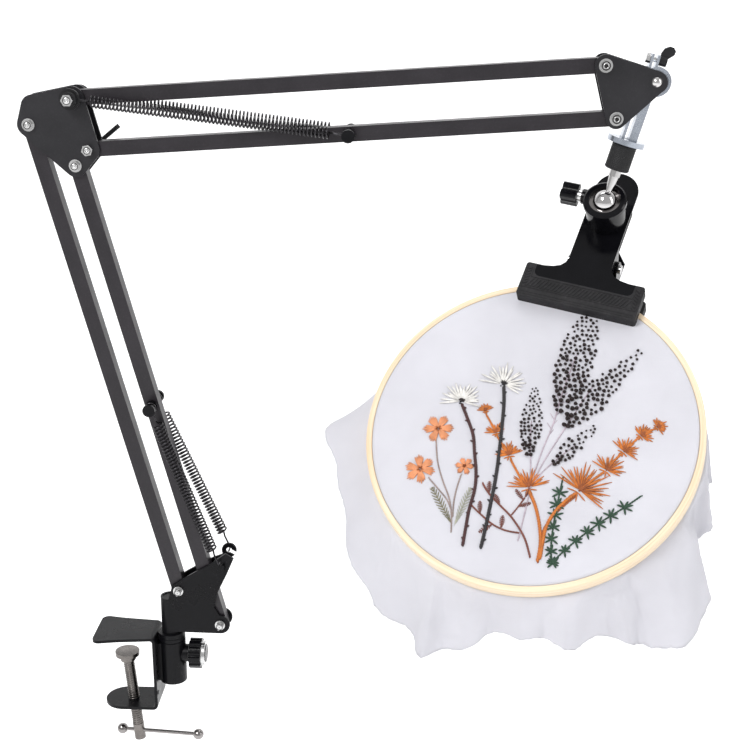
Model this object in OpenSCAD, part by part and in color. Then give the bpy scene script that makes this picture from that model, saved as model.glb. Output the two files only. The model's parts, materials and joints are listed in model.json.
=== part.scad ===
// Hoop holder: a desk clamp and a spring-balanced scissor arm that carry a spring clamp on a ball
// head, with a wooden embroidery hoop and its cloth held in the jaws.
// Origin: clamp screw axis on the underside of the clamp's top plate. +X out over the free side,
// +Y away from the viewer, +Z up. The two arms lie in the plane y = 0.

/* [Desk clamp] */
// thickness of the steel strap
strap_t = 2.2; // [1.5:0.1:4]
// width of the strap at the web
strap_w = 30; // [20:1:50]
// height of the clamp throat
throat_h = 55; // [30:1:90]
// outer face of the web from the screw axis
web_x = 22.2; // [15:0.1:40]
// reach of the top plate to the left of the screw
top_reach = 24; // [15:0.5:60]
// desk thickness that the screw is set to
desk_t = 16; // [5:0.5:45]
// clamp screw diameter
screw_d = 7.4; // [5:0.1:12]
// lean of the clamp screw in its loose thread
screw_lean = 5; // [0:0.5:8]
// swivel pad diameter
pad_d = 18; // [10:0.5:30]
// length of the sliding bar between ball centres
tommy_l = 63; // [30:1:90]

/* [Base] */
// post axis from the screw axis
post_x = 32.2; // [20:0.1:60]
// post diameter
post_d = 11.1; // [6:0.1:16]
// outside diameter of the post socket
socket_od = 20; // [14:0.5:30]
// lowest point of the post socket
socket_low = 38.4; // [20:0.1:60]
// post lock knob diameter
knob_d = 22.5; // [15:0.5:40]

/* [Arms] */
// pivot to pivot length of all four bars
arm_l = 350; // [150:1:600]
// square section of the bars
bar_w = 10; // [6:0.5:20]
// wall of the bar tube
tube_wall = 1; // [0.8:0.1:2]
// lower arm angle above the desk
lower_angle = 104.25; // [80:0.05:119]
// upper arm angle above the desk
upper_angle = 3.7; // [-10:0.1:40]
// pivot bolt diameter
bolt_d = 5; // [3:0.5:8]
// thickness of all side plates
plate_t = 1.5; // [1:0.1:3]
// inner face of the side plates from the arm plane
plate_y = 5.6; // [5.2:0.1:10]
// outside diameter of the balance springs
spring_d = 8.5; // [5:0.5:14]
// spring line from the arm plane
spring_y = 11.3; // [8:0.1:16]

/* [Head] */
// drum diameter of the tilting yoke
drum_d = 19.2; // [14:0.2:30]
// flange disc diameter under the yoke
disc_d = 25; // [15:0.5:40]
// lean of the yoke axis from vertical
yoke_lean = 16.45; // [0:0.05:40]
// knurled adapter diameter
adapter_d = 16.5; // [10:0.5:30]
// ball diameter
ball_d = 16; // [10:0.5:25]

/* [Spring clamp] */
// turn of the clamp about the vertical
clamp_turn = -13; // [-60:1:60]
// lean of the clamp back from horizontal
clamp_lean = 45.5; // [20:0.5:90]
// roll of the clamp in its own plane
clamp_roll = -10.4; // [-45:0.1:45]
// width of the jaw plates
jaw_w = 30; // [20:1:50]
// width of the rubber pads
pad_w = 82; // [40:1:120]
// thickness of the rubber pads
pad_t = 8.4; // [5:0.1:16]

/* [Hoop] */
// outside radius of the hoop
hoop_r = 109; // [60:1:160]
// depth of the rings
hoop_h = 10; // [6:0.5:16]
// radial thickness of the outer ring
ring_t = 4; // [2:0.1:8]
// edge length of the square cloth
cloth_w = 296; // [220:2:400]
// cloth thickness in the model
cloth_t = 0.6; // [0.3:0.1:1.5]

/* [Hidden] */
$fn = 64;

e = 0.01;
run = 0.05;
bolt_r = bolt_d / 2;
bore_r = bolt_r + run;
open_bore_r = bolt_r + 0.25;
half_bar = bar_w / 2;
plate_out = plate_y + plate_t;
washer_t = 1.2;
head_t = 3.2;
head_r = 4.6;

// pivots as [x, z]
b1 = [40, 38];
b2 = [70, 11];
low_dir = [cos(lower_angle), sin(lower_angle)];
up_dir = [cos(upper_angle), sin(upper_angle)];
e1 = b1 + arm_l * low_dir;
e2 = b2 + arm_l * low_dir;
u1 = e1 + [30.5, 17.5];
u2 = e1 + [39, -16.5];
h1 = u1 + arm_l * up_dir;
h2 = u2 + arm_l * up_dir;
nose = h1 + [33.4, -10.5];
p_low = b2 + arm_l / 2 * low_dir;
p_up = u2 + arm_l / 2 * up_dir;
hook_near = [71.5, 60.5];
hook_far = [76.5, 65.5];

// yoke axis and ball centre
axis_dir = [sin(yoke_lean), cos(yoke_lean)];
disc_c = nose + [-16.9, -39];
disc_t = 3.5;
ball_to_disc = 42;
ball_c = disc_c - ball_to_disc * axis_dir;
ball_r = ball_d / 2;

// spring clamp heights along its own normal, measured from the ball centre
front_z = -20;
face_gap = 0.2;
hoop_front = -28.7;
hoop_back = hoop_front - hoop_h;
mid_z = (hoop_front + hoop_back) / 2;
front_pad_low = hoop_front + face_gap;
pin_u = -29;
pin_r = 2;
hoop_c = [0, -161.4];
inner_r = hoop_r - ring_t;
down = [-sin(clamp_lean) * sin(clamp_roll), -sin(clamp_lean) * cos(clamp_roll), -cos(clamp_lean)];

// children of these helpers are drawn in the named frame
module slab(y0, t) {
  translate([0, y0 + t, 0]) rotate([90, 0, 0]) linear_extrude(t) children();
}

module at(p) {
  translate([p[0], 0, p[1]]) children();
}

module along(a, b) {
  d = b - a;
  translate(a) rotate([0, acos(d[2] / norm(d)), atan2(d[1], d[0])]) children();
}

module rod(a, b, r) {
  along(a, b) cylinder(r = r, h = norm(b - a), $fn = 32);
}

module y_rod(p, y0, y1, r) {
  translate([p[0], y1, p[1]]) rotate([90, 0, 0]) cylinder(r = r, h = y1 - y0);
}

module x_rod(x0, x1, u, z, r) {
  translate([x0, u, z]) rotate([0, 90, 0]) cylinder(r = r, h = x1 - x0);
}

screw_x = 1.1;
hole_z = -throat_h - strap_t / 2;

module screw_frame() {
  translate([screw_x, 0, hole_z]) rotate([0, -screw_lean, 0]) translate([0, 0, -hole_z]) children();
}

module yoke_frame() {
  at(disc_c) rotate([0, yoke_lean, 0]) children();
}

module clamp_frame() {
  at(ball_c) rotate([0, 0, clamp_turn]) rotate([clamp_lean, 0, 0]) rotate([0, 0, clamp_roll]) children();
}

module hex(r, h) {
  cylinder(r = r, h = h, $fn = 6);
}

module bend(r_out, t) {
  intersection() {
    difference() {
      circle(r = r_out);
      circle(r = r_out - t);
    }
    square(r_out);
  }
}

// ---- desk clamp ----

bend_r = 4;
web_top_z = strap_t - bend_r;
web_low_z = -throat_h - strap_t + bend_r;

module top_outline() {
  flare = 20;
  corner = 5;
  far = -top_reach + corner;
  polygon([
    [web_x - bend_r, -strap_w / 2], [web_x - bend_r, strap_w / 2], [-6, 17.6], [far, flare],
    [far, flare - corner], [-top_reach, flare - corner], [-top_reach, corner - flare],
    [far, corner - flare], [far, -flare], [-6, -17.6]
  ]);
  for (s = [-1, 1]) translate([far, s * (flare - corner)]) circle(r = corner);
}

module bottom_outline() {
  reach = 5;
  translate([-reach, -strap_w / 2]) square([web_x - bend_r + reach, strap_w]);
  translate([-reach, 0]) circle(r = strap_w / 2);
}

module clamp_bracket() {
  dimple_r = 1.6;
  dimple_t = 0.5;
  color([0.11, 0.11, 0.13]) {
    linear_extrude(strap_t) top_outline();
    difference() {
      translate([0, 0, -throat_h - strap_t]) linear_extrude(strap_t) bottom_outline();
      screw_frame() translate([0, 0, hole_z - 5]) cylinder(d = screw_d + 2 * run, h = 10);
    }
    translate([web_x - strap_t, -strap_w / 2, web_low_z])
      cube([strap_t, strap_w, web_top_z - web_low_z]);
    slab(-strap_w / 2, strap_w) {
      translate([web_x - bend_r, web_top_z]) bend(bend_r, strap_t);
      translate([web_x - bend_r, web_low_z]) mirror([0, 1]) bend(bend_r, strap_t);
    }
    for (z = [-12, -28, -44])
      x_rod(web_x - e, web_x + dimple_t, -11.5, z, dimple_r);
  }
}

socket_top = -1.8;
boss_z = -16.5;
boss_x = 44.6;
stem_r = 3.9;

module post_socket() {
  saddle_w = 14;
  groove_z = -5;
  color([0.12, 0.12, 0.14]) difference() {
    union() {
      translate([post_x, 0, -socket_low]) cylinder(d = socket_od, h = socket_low + socket_top);
      translate([web_x, -saddle_w / 2, -socket_low + 2]) cube([4, saddle_w, socket_low - 8]);
      x_rod(post_x, boss_x, 0, boss_z, 6.6);
    }
    translate([post_x, 0, -socket_low - 1]) cylinder(r = post_d / 2 + run, h = socket_low + 2);
    x_rod(post_x, boss_x + 1, 0, boss_z, stem_r + run);
    translate([post_x, 0, groove_z]) difference() {
      cylinder(d = socket_od + 2, h = 0.8);
      translate([0, 0, -1]) cylinder(d = socket_od - 1.2, h = 3);
    }
  }
}

tip_r = 3;
pad_low = -desk_t - 7;
pad_x = screw_x + (hole_z + desk_t + 1.5) * tan(screw_lean);

module clamp_pad() {
  color([0.55, 0.56, 0.58]) difference() {
    union() {
      translate([pad_x, 0, -desk_t - 3]) cylinder(d = pad_d, h = 3);
      screw_frame() translate([0, 0, pad_low]) cylinder(r = 5.8, h = 5.4);
    }
    screw_frame() translate([0, 0, pad_low - 1]) cylinder(r = tip_r + run, h = 6);
  }
}

screw_low = -77;
screw_head_low = -90;
tommy_z = -83.5;
tommy_r = 1.5;
tommy_turn = -13;

module clamp_screw() {
  color([0.6, 0.61, 0.63]) screw_frame() difference() {
    union() {
      translate([0, 0, screw_low]) cylinder(d = screw_d, h = pad_low - 0.4 - screw_low);
      translate([0, 0, pad_low - 1]) cylinder(r = tip_r, h = 5.6);
      translate([0, 0, screw_head_low]) cylinder(r = 4.2, h = screw_low - screw_head_low);
    }
    rotate(tommy_turn) x_rod(-10, 10, 0, tommy_z, tommy_r + run);
  }
}

module tommy_bar() {
  left = -14;
  knob_r = 4.1;
  color([0.8, 0.81, 0.83]) screw_frame() rotate(tommy_turn) {
    x_rod(left, left + tommy_l, 0, tommy_z, tommy_r);
    for (x = [left, left + tommy_l]) translate([x, 0, tommy_z]) sphere(r = knob_r, $fn = 48);
  }
}

grip_x = 45.6;
grip_l = 8.9;

module post_knob_stem() {
  color([0.75, 0.76, 0.78]) {
    x_rod(38, grip_x + grip_l, 0, boss_z, stem_r);
    x_rod(grip_x + grip_l, grip_x + grip_l + 2.8, 0, boss_z, 9.4);
  }
}

module post_knob_grip() {
  flutes = 10;
  color([0.05, 0.05, 0.06]) translate([grip_x, 0, boss_z]) rotate([0, 90, 0]) difference() {
    cylinder(d = knob_d, h = grip_l);
    for (i = [0:flutes - 1]) rotate(i * 360 / flutes)
      translate([knob_d / 2 + 0.9, 0, -1]) cylinder(r = 2.3, h = grip_l + 2, $fn = 24);
    translate([0, 0, -1]) cylinder(r = stem_r + run, h = grip_l + 2);
  }
}

// ---- turntable ----

base_low = 4.4;
wrap_top = 30.6;

module base_post() {
  color([0.1, 0.1, 0.12]) {
    translate([post_x, 0, -socket_low + 2.4]) cylinder(d = post_d, h = socket_low + wrap_top - 3);
    translate([post_x, 0, -1.6]) cylinder(r = 9.75, h = 3.4);
    translate([post_x, 0, 1.7]) cylinder(r = 7.2, h = base_low - 1.7);
  }
}

function base_edge() = [
  [post_x, base_low], [70, 3.8], [70, 18], [66, 25], [68.1, 35.4], [76.4, 52.4]
];

function base_back() = [
  [63.5, 59.1], [55.3, 54.6], [45, 48.4], [35.3, 41.8], [34.4, 38], [post_x, wrap_top]
];

module base_outline(tip) {
  polygon(concat(base_edge(), tip, base_back()));
  translate(b2) circle(r = 7.2);
}

module base_bracket() {
  wrap_r = plate_out;
  near_tip = [[81.6, 64.6], [75.7, 68.3], [70.3, 64.4]];
  far_tip = [[78.5, 60], [72, 62.5]];
  color([0.08, 0.08, 0.1]) difference() {
    union() {
      slab(-plate_out, plate_t) base_outline(near_tip);
      slab(plate_y, plate_t) base_outline(far_tip);
      slab(plate_y, plate_t) translate(hook_far) difference() {
        circle(r = 5.5);
        circle(r = 2.2);
        rotate(-30) translate([0, -1.5]) square([8, 3]);
      }
      translate([post_x, 0, base_low]) difference() {
        cylinder(r = wrap_r, h = wrap_top - base_low);
        translate([0, 0, -1]) cylinder(r = plate_y, h = wrap_top);
        translate([0, -10, -1]) cube([20, 20, wrap_top]);
      }
      translate([73.5, -plate_out - 3, 55.5]) cube([1.4, 3 + e, 4.5]);
    }
    for (p = [b1, b2]) y_rod(p, -9, 9, bore_r);
    y_rod(hook_near, -9, 0, 1.3);
  }
}

// one pivot bolt: washer and hex head in front, washer and nut behind
module pivot_bolt(p, back_end, ring_r, hex_r) {
  y_rod(p, -plate_out, back_end, bolt_r);
  y_rod(p, -plate_out - washer_t, -plate_out, ring_r);
  at(p) translate([0, -plate_out - washer_t + e, 0]) rotate([90, 0, 0]) rotate(12) hex(hex_r, 2.4);
  y_rod(p, plate_out, plate_out + washer_t, 5);
}

module back_nut(p, y0) {
  at(p) translate([0, y0 + head_t, 0]) rotate([90, 0, 0]) hex(head_r, head_t);
}

module base_bolts() {
  color([0.78, 0.79, 0.82]) for (p = [b1, b2]) {
    pivot_bolt(p, plate_out + 5, 3.7, 3);
    back_nut(p, plate_out + washer_t - e);
  }
}

// ---- arms ----

module bar(p, angle, bore_far, with_pin) {
  color([0.22, 0.2, 0.23]) at(p) rotate([0, -angle, 0]) difference() {
    slab(-half_bar, bar_w) {
      translate([0, -half_bar]) square([arm_l, bar_w]);
      circle(r = half_bar);
      translate([arm_l, 0]) circle(r = half_bar);
    }
    translate([-half_bar - 1, tube_wall - half_bar, tube_wall - half_bar])
      cube([arm_l + bar_w + 2, bar_w - 2 * tube_wall, bar_w - 2 * tube_wall]);
    y_rod([0, 0], -bar_w, bar_w, bore_r);
    y_rod([arm_l, 0], -bar_w, bar_w, bore_far);
    if (with_pin) y_rod([arm_l / 2, 0], -bar_w, bar_w, bore_r);
  }
}

module lower_bar_rear() {
  bar(b1, lower_angle, bore_r, false);
}

module lower_bar_front() {
  bar(b2, lower_angle, open_bore_r, true);
}

module upper_bar_top() {
  bar(u1, upper_angle, bore_r, false);
}

module upper_bar_bottom() {
  bar(u2, upper_angle, open_bore_r, true);
}

// cross pin that the two springs of an arm hook on
module spring_pin(p) {
  color([0.75, 0.76, 0.79]) {
    y_rod(p, -16.4, 16.4, bolt_r);
    for (s = [-1, 1]) {
      y_rod(p, min(s * half_bar, s * 7.4), max(s * half_bar, s * 7.4), 4.2);
      y_rod(p, min(s * 15.4, s * 17.6), max(s * 15.4, s * 17.6), 4.4);
    }
  }
}

module lower_spring_pin() {
  spring_pin(p_low);
}

module upper_spring_pin() {
  spring_pin(p_up);
}

wire_r = 0.8;
eye_r = 3.7;

module eye(p, y) {
  at(p) translate([0, y, 0]) rotate([90, 0, 0])
    rotate_extrude($fn = 40) translate([eye_r, 0]) circle(r = wire_r, $fn = 16);
}

// closed body of one spring between two anchors, a and b as [x, z], eye or cranked hook at a
module spring(a, b, y, cranked) {
  run_in = 13;
  d = (b - a) / norm(b - a);
  a3 = [a[0], y, a[1]];
  b3 = [b[0], y, b[1]];
  d3 = [d[0], 0, d[1]];
  start = cranked ? a3 : a3 + eye_r * d3;
  color([0.1, 0.1, 0.12]) {
    along(a3 + run_in * d3, b3 - run_in * d3)
      cylinder(d = spring_d, h = norm(b - a) - 2 * run_in, $fn = 40);
    rod(start, a3 + (run_in + 1) * d3, wire_r);
    rod(b3 - (run_in + 1) * d3, b3 - eye_r * d3, wire_r);
    eye(b, y);
    if (cranked) {
      y_rod(a, min(y, sign(y) * 4), max(y, sign(y) * 4), wire_r);
      translate(a3) sphere(r = wire_r, $fn = 16);
    } else {
      eye(a, y);
    }
  }
}

module lower_spring_near() {
  spring(hook_near, p_low, -spring_y, true);
}

module lower_spring_far() {
  spring(hook_far, p_low, spring_y, true);
}

module upper_spring_near() {
  spring(u1, p_up, -spring_y, false);
}

module upper_spring_far() {
  spring(u1, p_up, spring_y, false);
}

// ---- elbow ----

module elbow_plate() {
  bulge = e1 + [3.5, 12];
  difference() {
    hull() {
      for (p = [e1, e2, u1, u2, bulge]) translate(p) circle(r = 7.8, $fn = 48);
    }
    for (p = [e1, e2, u1, u2]) translate(p) circle(r = bore_r);
  }
}

module elbow_plate_near() {
  color([0.09, 0.09, 0.11]) slab(-plate_out, plate_t) elbow_plate();
}

module elbow_plate_far() {
  color([0.09, 0.09, 0.11]) slab(plate_y, plate_t) elbow_plate();
}

wing_end = 19;

module elbow_bolts() {
  color([0.78, 0.79, 0.82]) {
    for (p = [e1, e2]) {
      pivot_bolt(p, plate_out + 5, 4.3, 3.3);
      back_nut(p, plate_out + washer_t - e);
    }
    pivot_bolt(u2, wing_end, 3.4, 3.9);
  }
}

sleeve_gap = [9.4, 13.2];
long_end = 18.8;

module elbow_spring_bolt() {
  color([0.75, 0.76, 0.79]) {
    y_rod(u1, -long_end, long_end, bolt_r);
    at(u1) translate([0, -long_end + e, 0]) rotate([90, 0, 0]) hex(4.1, head_t);
    back_nut(u1, long_end - e);
  }
}

module sleeve(y0, y1, r) {
  difference() {
    y_rod(u1, y0, y1, r);
    y_rod(u1, y0 - 1, y1 + 1, bore_r);
  }
}

module elbow_sleeves() {
  color([0.07, 0.07, 0.08]) {
    sleeve(-sleeve_gap[0], -plate_out, 4.8);
    sleeve(plate_out, sleeve_gap[0], 4.8);
    for (s = [-1, 1]) {
      sleeve(min(s * sleeve_gap[1], s * 14.7), max(s * sleeve_gap[1], s * 14.7), 7);
      sleeve(min(s * 14.7, s * long_end), max(s * 14.7, s * long_end), 5.2);
    }
  }
}

// thumb nut on a hub along +z, with wings at the given turns; outline is [distance out, height]
module wings(bore, hub_r, hub_h, wing_t, outline, turns) {
  difference() {
    union() {
      cylinder(r = hub_r, h = hub_h);
      for (a = turns) rotate(a) translate([0, wing_t / 2, 0]) rotate([90, 0, 0])
        linear_extrude(wing_t) polygon(outline);
    }
    translate([0, 0, -1]) cylinder(r = bore, h = 3 * hub_h);
  }
}

module elbow_wing_nut() {
  hub_h = 8;
  outline = [
    [3, 0.4], [4.6, 3.4], [9, 4.6], [15, 6.4], [19, 8.4], [20.5, 11], [19.5, 13.2], [16, 13.4],
    [10, 11], [6, 8.6], [3, 7.9]
  ];
  color([0.06, 0.06, 0.07]) at(u2) translate([0, plate_out + washer_t + 0.1, 0])
    rotate([-90, -40, 0]) wings(bore_r, 5, hub_h, 2.8, outline, [0, 180]);
}

// ---- head ----

module head_plate() {
  difference() {
    hull() {
      for (p = [[h1, 7], [h2, 6.7], [nose, 7]]) translate(p[0]) circle(r = p[1], $fn = 48);
    }
    for (p = [h1, h2]) translate(p) circle(r = bore_r);
    translate(nose) circle(r = 3 + run);
  }
}

module head_plate_near() {
  color([0.09, 0.09, 0.11]) slab(-plate_out, plate_t) head_plate();
}

module head_plate_far() {
  color([0.09, 0.09, 0.11]) slab(plate_y, plate_t) head_plate();
}

module head_bolts() {
  socket_r = 1.9;
  color([0.78, 0.79, 0.82]) for (p = [h1, h2]) {
    difference() {
      union() {
        y_rod(p, -plate_out, plate_out + 4, bolt_r);
        y_rod(p, -plate_out - 1.2, -plate_out, 4.5);
        y_rod(p, -plate_out - 3, -plate_out - 1.1, 3.3);
      }
      at(p) translate([0, -plate_out - 1, 0]) rotate([90, 0, 0]) hex(socket_r, 3);
    }
    back_nut(p, plate_out);
  }
}

module nose_bolt() {
  dome_r = 3.9;
  dome_in = 1.7;
  color([0.8, 0.81, 0.84]) {
    y_rod(nose, -plate_out, plate_out + 3.5, 3);
    intersection() {
      at(nose) translate([0, -plate_out + dome_in, 0]) sphere(r = dome_r, $fn = 64);
      y_rod(nose, -plate_out - dome_r, -plate_out, dome_r);
    }
    y_rod(nose, plate_out, plate_out + 2.6, 4.6);
  }
}

yoke_w = 10.2;
nose_a = 16.9 * cos(yoke_lean) - 39 * sin(yoke_lean);
nose_b = 16.9 * sin(yoke_lean) + 39 * cos(yoke_lean);
leg_low = disc_t / 2;
ear_turn = 14;
ear_c = nose + [-1, 13.2];
ear_hole = 1.6;

module yoke_strap() {
  left_a = nose_a - drum_d / 2;
  color([0.62, 0.65, 0.7]) difference() {
    union() {
      y_rod(nose, -yoke_w / 2, yoke_w / 2, drum_d / 2);
      yoke_frame() {
        translate([left_a, -yoke_w / 2, leg_low]) cube([1.9, yoke_w, nose_b - leg_low]);
        translate([0.4, -yoke_w / 2, leg_low]) cube([5.6, yoke_w, nose_b - leg_low - 6]);
      }
      at(ear_c) rotate([0, ear_turn, 0]) for (x = [-3.6, 0.4])
        translate([x, -4.4, -5.6]) cube([1.7, 8.8, 9.6]);
    }
    for (y = [-yoke_w / 2 - 1, yoke_w / 2 - 1.6]) slab(y, 2.6) translate(nose) difference() {
      circle(r = drum_d / 2 - 1.9);
      circle(r = 4.6);
    }
    y_rod(nose, -yoke_w, yoke_w, 3 + run);
    at(ear_c) rotate([0, ear_turn, 0]) x_rod(-10, 10, 0, 0.6, ear_hole);
  }
}

module yoke_disc() {
  color([0.7, 0.71, 0.73]) yoke_frame() difference() {
    translate([0, 0, -disc_t / 2]) cylinder(d = disc_d, h = disc_t);
    translate([0, 0, -disc_t]) cylinder(r = bore_r, h = 2 * disc_t);
  }
}

module wing_screw() {
  color([0.72, 0.73, 0.76]) at(ear_c) rotate([0, ear_turn, 0]) {
    x_rod(-4.6, 6.8, 0, 0.6, ear_hole - run);
    translate([-6.3, 0, 0.6]) rotate([0, 90, 0]) hex(3.1, 2.6);
  }
}

module wing_grip() {
  outline = [
    [2, 0.4], [5, 0.2], [8.4, 1.6], [10.2, 4.4], [10, 7.2], [8, 9], [5.4, 8.6], [2, 5.2]
  ];
  color([0.05, 0.05, 0.06]) at(ear_c) rotate([0, ear_turn, 0])
    translate([2.4, 0, 0.6]) rotate([0, 90, 0]) wings(ear_hole - run, 3.1, 5, 2.2, outline, [170]);
}

// ---- ball head ----

stud_low = 18;
adapter_low = 22.5;
adapter_high = ball_to_disc - disc_t / 2 - 0.1;

module stud_frame() {
  at(ball_c) rotate([0, yoke_lean, 0]) children();
}

module adapter() {
  color([0.07, 0.07, 0.08]) stud_frame() difference() {
    translate([0, 0, adapter_low]) cylinder(d = adapter_d, h = adapter_high - adapter_low);
    translate([0, 0, adapter_low - 1]) cylinder(r = bore_r, h = adapter_high);
  }
}

module ball_stud() {
  color([0.75, 0.76, 0.79]) stud_frame() {
    sphere(r = ball_r, $fn = 96);
    cylinder(r1 = 1.3, r2 = 3.3, h = stud_low + e);
    translate([0, 0, stud_low]) cylinder(r = 3.8, h = adapter_low - stud_low);
    translate([0, 0, adapter_low - e]) cylinder(r = bolt_r, h = ball_to_disc + disc_t / 2 - adapter_low - 0.2);
  }
}

seat_r = 10.5;
seat_low = -12;
seat_high = 0.8;
ring_top = 2.6;
ring_r = 14.6;

module ball_seat() {
  color([0.2, 0.2, 0.21]) clamp_frame() difference() {
    translate([0, 0, seat_low]) cylinder(r = seat_r, h = seat_high - seat_low);
    sphere(r = ball_r + 0.06, $fn = 96);
  }
}

socket_r = 13.4;
lock_u = 5;
lock_z = -6.5;
lock_r = 3;

module ball_socket() {
  color([0.1, 0.1, 0.12]) clamp_frame() difference() {
    union() {
      translate([0, 0, front_z]) cylinder(r = socket_r, h = -1 - front_z);
      x_rod(-17.4, -6, lock_u, lock_z, 5.2);
    }
    translate([0, 0, seat_low - 0.1]) cylinder(r = seat_r + run, h = 20);
    x_rod(-20, -6, lock_u, lock_z, lock_r + run);
    translate([0, 0, front_z - 1]) cylinder(r = bore_r, h = 8);
  }
}

module socket_ring() {
  color([0.74, 0.75, 0.78]) clamp_frame() difference() {
    union() {
      translate([0, 0, -1]) cylinder(r = ring_r, h = ring_top);
      translate([0, 0, ring_top - 1 - e]) cylinder(r1 = ring_r, r2 = ring_r - 1.2, h = 1 + e);
    }
    translate([0, 0, -2]) cylinder(r = seat_r + run, h = 6);
  }
}

module socket_screw() {
  color([0.72, 0.73, 0.76]) clamp_frame() {
    translate([0, 0, front_z - plate_t - 2.6]) cylinder(r = 5, h = 2.6);
    translate([0, 0, front_z - plate_t - e]) cylinder(r = bolt_r, h = 8);
  }
}

lock_grip_x = -31.6;

module ball_knob_stem() {
  color([0.75, 0.76, 0.78]) clamp_frame() {
    x_rod(-20.4, -10.4, lock_u, lock_z, lock_r);
    x_rod(-20.4, -17.9, lock_u, lock_z, 4.6);
  }
}

module ball_knob_grip() {
  grip_w = 12.4;
  grip_h = -20.4 - lock_grip_x;
  color([0.05, 0.05, 0.06]) clamp_frame()
    translate([lock_grip_x, lock_u, lock_z]) rotate([0, 90, 0]) difference() {
      intersection() {
        translate([-grip_w / 2, -grip_w / 2, 0]) cube([grip_w, grip_w, grip_h]);
        translate([0, 0, -1]) cylinder(r = 7.7, h = grip_h + 2);
      }
      for (a = [0:90:270]) rotate(a)
        translate([grip_w / 2 + 0.3, 0, -1]) cylinder(r = 1.5, h = grip_h + 2, $fn = 24);
    }
}

// ---- spring clamp ----

jaw_end = -55;
handle_u = 23;
lug_r = 5.2;

// plate outline: rounded handle, straight waist, and a flare with concave shoulders and round corners
module jaw_outline(half_w, handle_w) {
  corner = 4;
  flare = 34;
  translate([-half_w, -44]) square([2 * half_w, 28]);
  polygon([
    [-half_w, -16.5], [-handle_w, -8], [-handle_w, handle_u], [handle_w, handle_u],
    [handle_w, -8], [half_w, -16.5]
  ]);
  translate([0, handle_u]) circle(r = handle_w);
  for (s = [-1, 1]) {
    polygon([
      [0, -36], [s * half_w, -36.5], [s * (half_w + 1), -40], [s * (half_w + 3.6), -43],
      [s * (half_w + 8), -45], [s * (half_w + 14), -46], [s * flare, -46.4],
      [s * flare, jaw_end + corner], [s * (flare - corner), jaw_end], [0, jaw_end]
    ]);
    translate([s * (flare - corner), jaw_end + corner]) circle(r = corner);
  }
}

// side lug of a jaw, from its plate to the pivot
module jaw_lug(x0, plate_z) {
  translate([x0, 0, 0]) rotate([90, 0, 90]) linear_extrude(plate_t) {
    translate([pin_u, mid_z]) circle(r = lug_r);
    polygon([
      [pin_u - 9, plate_z], [pin_u + 9, plate_z], [pin_u + lug_r, mid_z], [pin_u - lug_r, mid_z]
    ]);
  }
}

module front_jaw() {
  lug_x = jaw_w / 2;
  color([0.1, 0.1, 0.12]) clamp_frame() difference() {
    union() {
      translate([0, 0, front_z - plate_t]) linear_extrude(plate_t) jaw_outline(lug_x, lug_x);
      for (x = [-lug_x, lug_x - plate_t]) jaw_lug(x, front_z - plate_t / 2);
    }
    x_rod(-20, 20, pin_u, mid_z, pin_r + run);
    translate([0, 0, front_z - 5]) cylinder(r = bore_r, h = 8);
  }
}

rear_z = 2 * mid_z - front_z;

module rear_jaw() {
  lug_x = jaw_w / 2 + 0.3 + plate_t;
  handle_w = 10;
  color([0.1, 0.1, 0.12]) clamp_frame() difference() {
    union() {
      translate([0, 0, rear_z]) linear_extrude(plate_t) jaw_outline(lug_x, handle_w);
      for (x = [-lug_x, lug_x - plate_t]) jaw_lug(x, rear_z + plate_t / 2);
    }
    x_rod(-20, 20, pin_u, mid_z, pin_r + run);
  }
}

module jaw_pin() {
  color([0.75, 0.76, 0.79]) clamp_frame() {
    x_rod(-18.6, 18.6, pin_u, mid_z, pin_r);
    for (s = [-1, 1]) {
      x_rod(min(s * 12.3, s * 13.5), max(s * 12.3, s * 13.5), pin_u, mid_z, 3.2);
      x_rod(min(s * 17.1, s * 18.6), max(s * 17.1, s * 18.6), pin_u, mid_z, 3.1);
    }
  }
}

module jaw_spring() {
  coil_r = 4.6;
  reach = 19;
  lift = 10.6;
  color([0.3, 0.3, 0.32]) clamp_frame() {
    difference() {
      x_rod(-9, 9, pin_u, mid_z, coil_r);
      x_rod(-10, 10, pin_u, mid_z, pin_r + 0.5);
    }
    for (s = [-1, 1])
      rod([s * 8, pin_u, mid_z + s * (coil_r - 1)], [s * 8, pin_u + reach, mid_z + s * lift], 0.9);
  }
}

pad_high_u = -46;
pad_low_u = -72;

module pad_outline() {
  corner = 2;
  half = pad_w / 2;
  translate([-half, pad_low_u + corner]) square([pad_w, pad_high_u - pad_low_u - 2 * corner]);
  translate([corner - half, pad_low_u]) square([pad_w - 2 * corner, pad_high_u - pad_low_u]);
  for (x = [corner - half, half - corner], u = [pad_low_u + corner, pad_high_u - corner])
    translate([x, u]) circle(r = corner);
}

// rubber pad from height low, with a recess that the jaw plate lies in, from cut_low to cut_high
module jaw_pad(low, cut_low, cut_high, half_w) {
  difference() {
    translate([0, 0, low]) linear_extrude(pad_t) pad_outline();
    translate([0, 0, cut_low]) linear_extrude(cut_high - cut_low) jaw_outline(half_w, half_w);
  }
}

module front_pad() {
  plate_low = front_z - plate_t;
  color([0.16, 0.16, 0.17]) clamp_frame()
    jaw_pad(front_pad_low, plate_low, plate_low + 5, jaw_w / 2);
}

module rear_pad() {
  plate_high = rear_z + plate_t;
  color([0.16, 0.16, 0.17]) clamp_frame()
    jaw_pad(hoop_back - face_gap - pad_t, plate_high - 5, plate_high, jaw_w / 2 + 0.3 + plate_t);
}

// ---- hoop ----

module hoop_frame() {
  clamp_frame() translate([hoop_c[0], hoop_c[1], hoop_back]) children();
}

split = 3;
lug_x = 8;

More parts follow.
